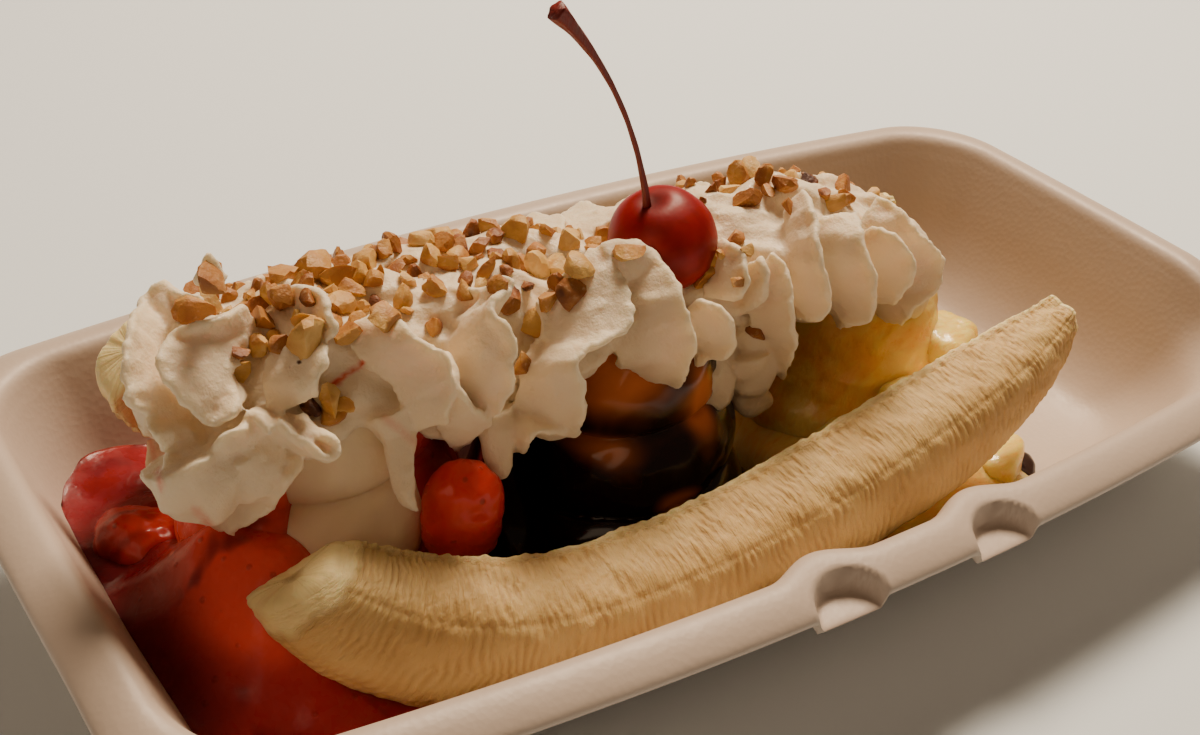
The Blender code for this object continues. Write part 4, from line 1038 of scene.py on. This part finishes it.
def coat(name, spec, angles, shares, thick, slot, seed, ragged, fill=0.0, lights=()):
    """Sauce on a mound: a sheet over a buried one, its thickness (1 - u^6)^0.5 towards a ragged rim.

    It is thin, and so lighter, near its rim, and it is lighter over the listed spots as painted light.
    """
    v, u = np.meshgrid(np.linspace(-1, 1, 150), np.linspace(-1, 1, 220), indexing="ij")
    middle, half = sum(angles) / 2, (angles[1] - angles[0]) / 2
    rag = np.sin(7.0 * u + seed) + 0.7 * np.sin(13.0 * u + 2.0 * seed) + 0.5 * np.sin(3.1 * u)
    rag = ragged * rag
    share = shares[0] + (shares[1] - shares[0]) * (v + 1) / 2 + rag * (1 - v) / 2
    degrees = middle + half * u + 60 * ragged * np.sin(4.0 * v + seed) * np.abs(u)
    a = np.radians(degrees)
    share = np.clip(share, 0.01, 0.985)
    body = np.sqrt(np.clip(1 - np.abs(u) ** 6, 0, 1)) * np.sqrt(np.clip(1 - np.abs(v) ** 8, 0, 1))
    flat = mound_place(spec, share, a)
    run = 1 + 0.22 * ripple(flat, 12.0, seed) + 0.06 * ripple(flat, 4.5, seed + 3)
    lift = thick * body * run - 0.7 * (1 - body)
    top = mound_place(spec, share, a, lift, fill * body)
    under = mound_place(spec, share, a, np.full_like(lift, -1.6))
    thin = 0.25 * (1 - smoothstep(0.5, 1.2, run * body))
    # painted light: the listed spots make the coat lighter on top of its real thinning at the rim
    for at, high, wide, tall, strength in lights:
        thin = thin + strength * np.exp(-(((degrees - at) / wide) ** 2) - ((share - high) / tall) ** 2)
    shape = slab(keep_in_tray(top, 0.4), keep_in_tray(under, 0.7))
    dress(piece(name, *shape, slot, {"thin": on_top(thin)}), slot)


# sauces in the tray


def pool(node, slot, lumps, seed):
    """Sauce in the tray: its level falls along x, with slow waves and low domes where fruit lies under it.

    Its high swells are marked lighter, as painted light on their tops, and it is marked darker along the left
    wall and next to the chocolate, as painted shade.
    """
    x0, x1, z0, z1 = POOLS[node]
    t, v = np.meshgrid(np.linspace(0, 1, 170), np.linspace(-1, 1, 230), indexing="ij")
    level = z0 + (z1 - z0) * t
    x = x0 + (x1 - x0) * t
    hy = HALF_WIDTH - wall_inset(level)
    corner_x = np.maximum(np.abs(x) - (HALF_LENGTH - wall_inset(level) - POOL_CORNER), 0.0)
    hy = hy - POOL_CORNER + np.sqrt(np.maximum(POOL_CORNER**2 - np.minimum(corner_x, POOL_CORNER) ** 2, 0.5))
    half = hy + SIDE_BOW * (1 - (x / HALF_LENGTH) ** 2) + 0.2
    y = v * half
    wave = 2.2 * np.sin(y / 7.0)
    x = x + wave * np.where(x0 > -100, 1.0, t)
    z = level + 0.5 * np.sin(x * 0.23 + y * 0.11) + 0.4 * np.sin(y * 0.27 - x * 0.09)
    draw = np.random.default_rng(seed)
    for _ in range(lumps):
        cx, cy = draw.uniform(x0 + 6, x1), draw.uniform(-36, 36)
        wide, tall = draw.uniform(3.0, 6.5), draw.uniform(0.6, 2.2)
        z = z + tall * np.exp(-(((x - cx) / wide) ** 2 + ((y - cy) / wide) ** 2) ** 1.5)
    flat = np.stack([x, y, 0 * z], axis=-1)
    z = z + 0.2 * ripple(flat, 9.0, seed)
    low = z.copy()
    for cx, cy, wide, tall in SWELLS.get(node, ()):
        z = z + tall * np.exp(-(((x - cx) ** 2 + (y - cy) ** 2) / wide**2) ** 1.2)
    # painted shade along the left wall and next to the chocolate, and painted light on the high swells,
    # carried as deep and thin numbers
    chocolate_side_shade = smoothstep(-66.0, -56.0, x)
    left_wall_shade = 1 - smoothstep(-100.0, -90.0, x - 0.25 * y)
    raised = 1.2 * smoothstep(3.0, 15.0, z - low) * (1 - chocolate_side_shade)
    rim = np.minimum(1 - np.abs(v), 1) * half
    z = z + 0.4 * np.exp(-rim / 1.2)
    if x0 > -100:
        z = z - (z - FLOOR_Z - 0.6) * np.exp(-t * (x1 - x0) / 1.2)
    z = z - (z - FLOOR_Z - 0.6) * np.exp(-(1 - t) * (x1 - x0) / 1.8)
    top = keep_in_tray(np.stack([x, y, z], axis=-1), -0.3)
    under = keep_in_tray(np.stack([x, y, np.full_like(z, FLOOR_Z)], axis=-1), 0.15)
    numbers = {
        "thin": on_top(0.5 * np.exp(-rim / 2.0) + raised),
        "deep": on_top(np.maximum(0.7 * chocolate_side_shade, 0.78 * left_wall_shade)),
    }
    dress(piece(node.replace("sauce", "pool"), *slab(top, under), slot, numbers), slot, node)


# fruit


def lump(name, spec, seed, square, slot, nodes, coarse, deep=0.0):
    """Rounded fruit: a ball whose direction is raised to a power towards a box, softly uneven."""
    centre, half, degrees = spec
    rows, cols = 60, 80
    v = (np.arange(rows) + 0.5) / rows * math.pi - math.pi / 2
    u = np.linspace(0, 2 * math.pi, cols, endpoint=False)
    v, u = np.meshgrid(v, u, indexing="ij")
    way = np.stack([np.cos(v) * np.cos(u), np.cos(v) * np.sin(u), np.sin(v)], axis=-1)
    bulk = np.sign(way) * np.abs(way) ** square
    points = bulk * np.array(half)
    size = 1 + coarse * ripple(points, 9.0, seed) + 0.3 * coarse * ripple(points, 2.6, seed + 1)
    points = points * size[..., None]
    c, s = math.cos(math.radians(degrees)), math.sin(math.radians(degrees))
    x, y, z = np.moveaxis(points, -1, 0)
    points = np.stack([c * x - s * y, s * x + c * y, z], axis=-1) + np.array(centre)
    # deep numbers are painted shade, which the strawberry finish mixes in
    numbers = {"deep": np.full(points[..., 0].size + 2, deep)}
    dress(piece(name, *tube(keep_in_tray(points)), slot, numbers), slot, *nodes)


# cream


def cream_at(x):
    """Centre height, height radius and width radius of the cream's core at x."""
    top = np.interp(x, CREAM_STATIONS, CREAM_TOP)
    hem = np.interp(x, CREAM_STATIONS, CREAM_HEM)
    return (top + hem) / 2, (top - hem) / 2, np.interp(x, CREAM_STATIONS, CREAM_HALF)


def core_place(x, angle, side, lift):
    """A place over the core at x and an angle from the top, raised by lift, and the way out there."""
    middle, tall, wide = cream_at(np.clip(x, *CREAM_ENDS))
    tall, wide = np.maximum(tall, 6.0), np.maximum(wide, 6.0)
    out = np.stack([0 * angle, -side * np.sin(angle), np.cos(angle)], axis=-1)
    place = np.stack([x, CREAM_Y - side * wide * np.sin(angle), middle + tall * np.cos(angle)], axis=-1)
    return place + out * np.asarray(lift)[..., None], out


def through_picture(places):
    """The camera's place and the way from it through each place in the picture."""
    right, up, back, far = picture_axes()
    places = np.asarray(places, float)
    across, down = places[:, :1] - PICTURE_WIDTH / 2, places[:, 1:2] - PICTURE_HEIGHT / 2
    return np.array(CAMERA_PLACE), unit(-back * far + across * right - down * up)


def on_cream(places, lift):
    """Where the view through each place meets the core raised by lift, or comes nearest: x and angle."""
    start, way = through_picture(places)
    reach = np.linspace(90.0, 420.0, 1400)
    at = start + way[:, None] * reach[None, :, None]
    middle, tall, wide = cream_at(np.clip(at[..., 0], *CREAM_ENDS))
    tall, wide = np.maximum(tall, 6.0) + lift[:, None], np.maximum(wide, 6.0) + lift[:, None]
    side, high = (CREAM_Y - at[..., 1]) / wide, (at[..., 2] - middle) / tall
    inside = np.hypot(side, high)
    first = np.where(inside.min(axis=1) < 1.0, (inside < 1.0).argmax(axis=1), inside.argmin(axis=1))
    row = np.arange(len(places))
    return at[row, first, 0], np.arctan2(side[row, first], high[row, first])


def petal(edge, root, seed, toward):
    """A piped petal between its root line and its scalloped free edge, thinning from 5 to 1 mm.

    The face swells by a sine towards the side that it faces, with soft folds, and the edge curls out.
    """
    rows = len(edge)
    draw = np.random.default_rng(seed)
    phase = draw.uniform(0, 6.3, 4)
    t = np.linspace(0, 1, rows)
    run = np.gradient(edge, axis=0) + np.gradient(root, axis=0)
    across = unit(np.cross(run, edge - root))
    across *= np.sign((across * (toward - edge)).sum(axis=1, keepdims=True))
    length = np.linalg.norm(np.diff(edge, axis=0), axis=1).sum()
    scallop = np.sin(length / 0.55 * t + phase[1]) + 0.7 * np.sin(length / 0.37 * t + phase[2])
    edge = edge + unit(edge - root) * 0.08 * scallop[:, None]
    share = np.concatenate([np.linspace(-0.2, 1.0, 20), np.linspace(1.0, -0.2, 20)])
    half = np.interp(share, (-0.2, 0.3, 0.7, 0.92, 1.0), (2.6, 1.7, 1.0, 0.66, 0.46))
    half[20:] *= -1
    deep = 0.05 * np.linalg.norm(edge - root, axis=1)[:, None]
    hollow = deep * np.sin(math.pi * np.clip(share, 0, 1)) + 0.5 * smoothstep(0.75, 1.0, share)
    fold = 0.35 * np.sin(length / 2.9 * t + phase[3]) + 0.16 * np.sin(length / 0.95 * t + phase[0])
    flute = fold[:, None] * smoothstep(0.1, 0.9, share)[None]
    offset = half[None] + hollow + flute
    return root[:, None] + (edge - root)[:, None] * share[None, :, None] + across[:, None] * offset[..., None]


def near_petal(spec, seed):
    """A petal whose two lines are given in the picture and lie on the cream: the edge on the raised core."""
    edge, root, reach = spec
    rows = 30 + 7 * len(edge)
    t = np.linspace(0, 1, rows)
    lift = 1.12 * reach * np.sin(math.pi * (0.05 + 0.87 * t)) ** 0.45
    x, angle = on_cream(smooth_curve(edge, rows), lift)
    high, _ = core_place(x, angle, 1, lift)
    x, angle = on_cream(smooth_curve(root, rows), 0.12 * lift)
    low, _ = core_place(x, angle, 1, 0.12 * lift)
    return petal(high, low, seed, np.array(CAMERA_PLACE))


def back_petal(i):
    """A petal on the far side, leaning the same way along x, whose edge wanders by sines."""
    x = -87.0 + 139.0 * i / (BACK_PETALS - 1)
    t = np.linspace(0, 1, 80)
    angle = np.radians(20 + 7 * math.sin(i * 1.7) + (92 + 10 * math.sin(i * 2.1)) * t)
    lift = 7.4 * smoothstep(math.radians(45), math.radians(98), angle)
    lift = lift * np.sin(math.pi * (0.3 + 0.62 * t)) ** 0.5
    edge_x = x + 4.0 * np.sin(math.pi * t) + 1.0 * np.sin(9.0 * t + i)
    root_x = edge_x - 12.0 * np.sin(math.pi * (0.06 + 0.88 * t)) ** 0.5
    high, _ = core_place(edge_x, angle, -1, lift)
    low, _ = core_place(root_x, angle, -1, np.full(80, -3.5))
    return petal(high, low, 50 + i, np.array((-150.0, 200.0, 150.0)))


def drip(spec, rows=30, around=24):
    """A hanging tongue of cream: circles along a line given in the picture, with a rounded end."""
    places, depths, radii = spec
    start, way = through_picture(smooth_curve(places, rows))
    depth = np.linspace(depths[0], depths[1], rows)
    path = start + way * ((depth - start[1]) / way[:, 1])[:, None]
    t = np.linspace(0, 1, rows)
    size = np.interp(t, np.linspace(0, 1, len(radii)), radii) * np.sqrt(np.maximum(0.05, 1 - t**14))
    a = np.linspace(0, 2 * math.pi, around, endpoint=False)
    size = size[:, None] * (1 + 0.07 * np.sin(3 * a[None] + 7 * t[:, None]))
    return rings_along(path, [0.3, 1.0, -0.2], size, 0.75)


def cream_core(rows=90, around=72):
    """The body under the petals: ellipses along x with soft, uneven folds."""
    x = np.linspace(CREAM_STATIONS[0], CREAM_STATIONS[-1], rows)[:, None]
    a = np.linspace(0, 2 * math.pi, around, endpoint=False)[None]
    middle, tall, wide = cream_at(x)
    points = np.stack([x + 0 * a, CREAM_Y - wide * np.sin(a), middle + tall * np.cos(a)], axis=-1)
    out = np.stack([0 * x * a, -np.sin(a) + 0 * x, np.cos(a) + 0 * x], axis=-1)
    lift = -0.9 + 1.1 * ripple(points, 15.0, 5) + 0.9 * ripple(points, 6.5, 6)
    return points + out * lift[..., None]


def sauce_marks(places):
    """How much sauce and nut skin lies at each place: bells round short lines and points in the picture."""
    right, up, back, far = picture_axes()
    way = places - np.array(CAMERA_PLACE)
    far = far / -(way @ back)
    seen = np.stack([PICTURE_WIDTH / 2 + far * (way @ right), PICTURE_HEIGHT / 2 - far * (way @ up)], axis=1)
    stain = np.zeros(len(seen))
    for start, end, wide, strength in STAINS:
        start, along = np.array(start), np.array(end) - np.array(start)
        t = np.clip((seen - start) @ along / (along @ along), 0, 1)
        off = np.linalg.norm(seen - start - t[:, None] * along, axis=1)
        stain += strength * np.exp(-((off / wide) ** 2))
    speck = sum(np.exp(-(((seen - np.array(place)) ** 2).sum(axis=1) / 2.2**2)) for place in SPECKS)
    front = places[:, 1] < 6.0
    return np.clip(stain, 0, 1) * (front | (places[:, 0] < -88.0)), np.clip(speck, 0, 1) * front


def whipped_cream():
    """Petals, drips and core are joined into one skin of fine cells, smoothed and ruffled a little."""
    shells = [tube(cream_core())]
    shells += [tube(near_petal(spec, i)) for i, spec in enumerate(PETALS)]
    shells += [tube(back_petal(i)) for i in range(BACK_PETALS)]
    shells += [tube(drip(spec)) for spec in DRIPS]
    points, faces, start = [], [], 0
    for shell, corners in shells:
        if holds(shell, corners) < 0:
            corners = [face[::-1] for face in corners]
        points.append(shell)
        faces += [[corner + start for corner in face] for face in corners]
        start += len(shell)
    obj = piece("whipped_cream_ridge", np.vstack(points), faces, "whipped_cream")
    fuse = obj.modifiers.new("fuse", "REMESH")
    fuse.mode, fuse.voxel_size, fuse.adaptivity = "VOXEL", CREAM_CELL, 0.0
    soften = obj.modifiers.new("soften", "SMOOTH")
    soften.factor, soften.iterations = 0.5, 3
    thin = obj.modifiers.new("thin", "DECIMATE")
    thin.ratio = 1.0
    graph = bpy.context.evaluated_depsgraph_get()
    count = sum(len(p.vertices) - 2 for p in obj.evaluated_get(graph).data.polygons)
    thin.ratio = min(1.0, CREAM_TRIANGLES / count)
    graph.update()
    mesh = bpy.data.meshes.new_from_object(obj.evaluated_get(bpy.context.evaluated_depsgraph_get()))
    obj.modifiers.clear()
    obj.data = mesh
    places = np.empty(len(mesh.vertices) * 3)
    mesh.vertices.foreach_get("co", places)
    places = places.reshape(-1, 3) / MM
    normals = np.empty(len(mesh.vertices) * 3)
    mesh.vertices.foreach_get("normal", normals)
    lift = 0.13 * ripple(places, 3.6, 11) + 0.07 * ripple(places, 1.7, 12)
    places += normals.reshape(-1, 3) * lift[:, None]
    mesh.vertices.foreach_set("co", (places * MM).ravel())
    mesh.polygons.foreach_set("use_smooth", np.full(len(mesh.polygons), True))
    stain, speck = sauce_marks(places)
    write_numbers(mesh, "stain", stain)
    write_numbers(mesh, "speck", speck)
    mesh.update()
    dress(obj, "whipped_cream", "whipped_cream")
    return obj


# nuts


def nut_ball(side=3):
    """Points and faces of a ball made from a cube's faces, side squares along an edge."""
    points, faces = {}, []
    line = np.tan(np.linspace(-1, 1, side + 1) * math.pi / 4)
    for axis in range(3):
        for sign in (-1.0, 1.0):
            for i in range(side):
                for j in range(side):
                    corners = []
                    for p, q in ((i, j), (i + 1, j), (i + 1, j + 1), (i, j + 1)):
                        place = np.roll([sign, line[p], line[q]], axis)
                        key = tuple(np.round(place, 6))
                        corners.append(points.setdefault(key, len(points)))
                    faces.append(corners if sign > 0 else corners[::-1])
    return unit(np.array(list(points))), np.array(faces)


def nut_places(tree, draw):
    """Place, size and tone of each nut: the listed ones that the camera sees, then those strewn by draws."""
    start, ways = through_picture([nut[:2] for nut in NUTS])
    found = []
    for way, (_, _, size, tone) in zip(ways, NUTS):
        hit, normal, _, _ = tree.ray_cast(Vector(start * MM), Vector(way))
        if hit is not None and hit.y < 0.05:
            found.append((np.array(hit) / MM + np.array(normal) * size * 0.3, size, tone))
    seen = len(found)
    for _ in range(4000):
        if len(found) == seen + STREWN_NUTS:
            break
        left = len(found) < seen + STREWN_LEFT
        x = draw.uniform(-88.0, -20.0 if left else 46.0)
        a = math.radians(draw.normal(6, 15) if left else draw.normal(-28, 20))
        size = draw.uniform(1.3, 2.5)
        if abs(x - CHERRY_CENTRE[0]) < CHERRY_RADIUS + 1.5 or draw.random() < (x + 60) / 200:
            continue
        out = np.array([0.0, -math.sin(a), math.cos(a)])
        above = np.array([x, CREAM_Y, float(cream_at(x)[0])]) + out * 60.0
        hit, normal, _, _ = tree.ray_cast(Vector(above * MM), Vector(-out))
        centre = np.array(hit) / MM + np.array(normal) * size * 0.1
        middle, tall, _ = cream_at(x)
        proud = math.hypot(centre[1] - CREAM_Y, centre[2] - middle) - tall
        if proud < 3.5 and all(math.dist(centre, other) > 0.8 * (size + wide) for other, wide, _ in found):
            found.append((centre, size, float(np.clip(draw.normal(0.55, 0.2), 0.05, 0.95))))
    return found


def chopped_nuts(cream):
    """Nuts on the cream: balls pressed flat on random planes, each turned and stretched by its own draw."""
    draw = np.random.default_rng(41)
    tree = BVHTree.FromObject(cream, bpy.context.evaluated_depsgraph_get())
    found = nut_places(tree, draw)
    ball, faces = nut_ball()
    count = len(found)
    centre = np.array([f[0] for f in found])
    size = np.array([f[1] for f in found])
    tone = np.repeat(np.array([f[2] for f in found])[:, None], len(ball), axis=1)
    shape = np.repeat(ball[None], count, axis=0)
    for _ in range(8):
        way = unit(draw.normal(size=(count, 1, 3)))
        over = (shape * way).sum(axis=2, keepdims=True) - draw.uniform(0.35, 0.75, (count, 1, 1))
        shape = shape - way * np.maximum(over, 0.0)
        tone = tone + draw.uniform(-0.16, 0.16, (count, 1)) * (over[..., 0] > 0)
    shape = shape * draw.uniform(0.72, 1.7, (count, 1, 3)) * 0.92
    w, x, y, z = unit(draw.normal(size=(count, 4))).T
    spin = np.stack([
        1 - 2 * (y * y + z * z), 2 * (x * y - z * w), 2 * (x * z + y * w),
        2 * (x * y + z * w), 1 - 2 * (x * x + z * z), 2 * (y * z - x * w),
        2 * (x * z - y * w), 2 * (y * z + x * w), 1 - 2 * (x * x + y * y),
    ], axis=1).reshape(count, 3, 3)
    points = np.einsum("nij,nvj->nvi", spin, shape) * size[:, None, None] + centre[:, None]
    every = (faces[None] + np.arange(count)[:, None, None] * len(ball)).reshape(-1, 4)
    numbers = {"tone": np.clip(tone, 0.02, 0.98)}
    obj = piece("chopped_nuts", points.reshape(-1, 3), every.tolist(), "roasted_nut", numbers)
    obj.data.set_sharp_from_angle(angle=NUT_EDGE)
    dress(obj, None)


# cherry


def cherry():
    """A ball with a dimple at its top, narrowed a little below, with faint soft dents, tilted to the left."""
    v, a = (np.arange(80) + 0.5) / 80 * math.pi, np.linspace(0, 2 * math.pi, 110, endpoint=False)
    v, a = np.meshgrid(v, a, indexing="ij")
    dimple = np.exp(-((v / 0.3) ** 2))
    z = np.cos(v) * 0.95 - 0.1 * dimple
    flat = np.sin(v) * (1 - 0.04 * np.cos(v))
    points = np.stack([flat * np.cos(a), flat * np.sin(a), z], axis=-1) * CHERRY_RADIUS
    points = points * (1 + 0.012 * ripple(points, 8.0, 3)[..., None])
    x, y, z = np.moveaxis(points, -1, 0)
    c, s = math.cos(CHERRY_TILT), math.sin(CHERRY_TILT)
    points = np.stack([x * c - z * s, y, x * s + z * c], axis=-1) + np.array(CHERRY_CENTRE)
    # the dimple numbers also carry the painted shade round the stem
    numbers = {"dimple": np.append(dimple.ravel(), (1.0, 0.0))}
    dress(piece("cherry_ball", *tube(points), "cherry_skin", numbers), "cherry_skin", "cherry")


def cherry_stem():
    """Circles on a quadratic curve, thickest at the knob, with fine lengthwise ridges."""
    rows, around = 120, 22
    t = np.linspace(0, 1, rows)[:, None]
    p0, p1, p2 = (np.array(p) for p in (STEM_START, STEM_BEND, STEM_END))
    path = (1 - t) ** 2 * p0 + 2 * t * (1 - t) * p1 + t**2 * p2
    a = np.linspace(0, 2 * math.pi, around, endpoint=False)
    radii = np.interp(t[:, 0], np.linspace(0, 1, len(STEM_RADII)), STEM_RADII)[:, None]
    radii = radii * (1 + 0.1 * np.sin(5 * a)[None] + 0.06 * np.sin(40 * t + 2 * a[None]))
    rings = rings_along(path, [0.0, 1.0, 0.0], radii)
    dress(piece("cherry_stalk", *tube(rings), "cherry_stem"), "cherry_stem", "cherry_stem")


# studio


def studio():
    """A pale floor, a large soft light from above and behind, a low fill and an even surround."""
    floor = bpy.data.meshes.new("floor")
    corners = [(x * FLOOR_HALF, y * FLOOR_HALF, 0.0) for x, y in ((-1, -1), (1, -1), (1, 1), (-1, 1))]
    floor.from_pydata(corners, [], [(0, 1, 2, 3)])
    pale = Finish("pale_floor", Roughness=0.8)
    pale.feed(Base_Color=pale.colour((0.78, 0.88, 0.97)).mix((0.80, 0.90, 0.98), pale.place.noise(2.0)))
    floor.materials.append(pale.material)
    ground = bpy.data.objects.new("floor", floor)
    bpy.context.scene.collection.objects.link(ground)
    for name, place, size, power, colour in LIGHTS:
        lamp = bpy.data.lights.new(name, "AREA")
        lamp.energy, lamp.size, lamp.color = power, size, colour
        obj = bpy.data.objects.new(name, lamp)
        obj.location = place
        obj.rotation_euler = (Vector(place) - Vector(LIGHTS_AIM)).to_track_quat("Z", "Y").to_euler()
        bpy.context.scene.collection.objects.link(obj)
    world = bpy.data.worlds.new("studio")
    world.use_nodes = True
    around = world.node_tree.nodes["Background"].inputs
    around["Color"].default_value, around["Strength"].default_value = SURROUND
    bpy.context.scene.world = world


foam_tray()
banana_half(-1, "banana_near_half", 4)
banana_half(1, "banana_far_half", 1)
for seed, (name, spec) in enumerate(MOUNDS.items()):
    soft_serve(name, spec, 20 + seed)
coat(
    "strawberry_coat", MOUNDS["ice_cream_left"], (95, 226), (0.15, 0.9), 2.4, "strawberry_sauce", 3,
    ragged=0.05, fill=0.7, lights=STRAWBERRY_PAINTED_LIGHT,
)
coat(
    "strawberry_coat_right", MOUNDS["ice_cream_left"], (290, 415), (0.1, 0.84), 1.4, "strawberry_sauce", 6,
    ragged=0.05, fill=0.5,
)
coat(
    "chocolate_coat", MOUNDS["ice_cream_middle"], (0, 359), (0.1, 0.97), 1.0, "chocolate_syrup", 5,
    ragged=0.02, lights=CHOCOLATE_PAINTED_LIGHT,
)
coat(
    "pineapple_coat", MOUNDS["ice_cream_right"], (150, 500), (0.15, 0.97), 2.4, "pineapple_sauce", 8,
    ragged=0.03, fill=0.9,
)
pool("strawberry_sauce", "strawberry_sauce", 26, 1)
pool("chocolate_sauce", "chocolate_syrup", 6, 2)
pool("pineapple_sauce", "pineapple_sauce", 16, 3)
for i, spec in enumerate(STRAWBERRIES):
    # the first berry gets painted shade
    deep = 0.25 if i == 0 else 0.0
    lump(f"berry_{i + 1}", spec, i, 1.0, "strawberry_piece", [f"strawberry_piece_{i + 1}"], 0.055, deep)
lump("chocolate_drop", CHOCOLATE_DROP, 31, 1.0, "chocolate_syrup", [], 0.06)
for i, spec in enumerate(PINEAPPLES):
    name, node = f"pineapple_chunk_{i + 1}", f"pineapple_piece_{i + 1}"
    lump(name, spec, 10 + i, 0.5, "pineapple_piece", [node], 0.05)
cream = whipped_cream()
chopped_nuts(cream)
cherry()
cherry_stem()
studio()
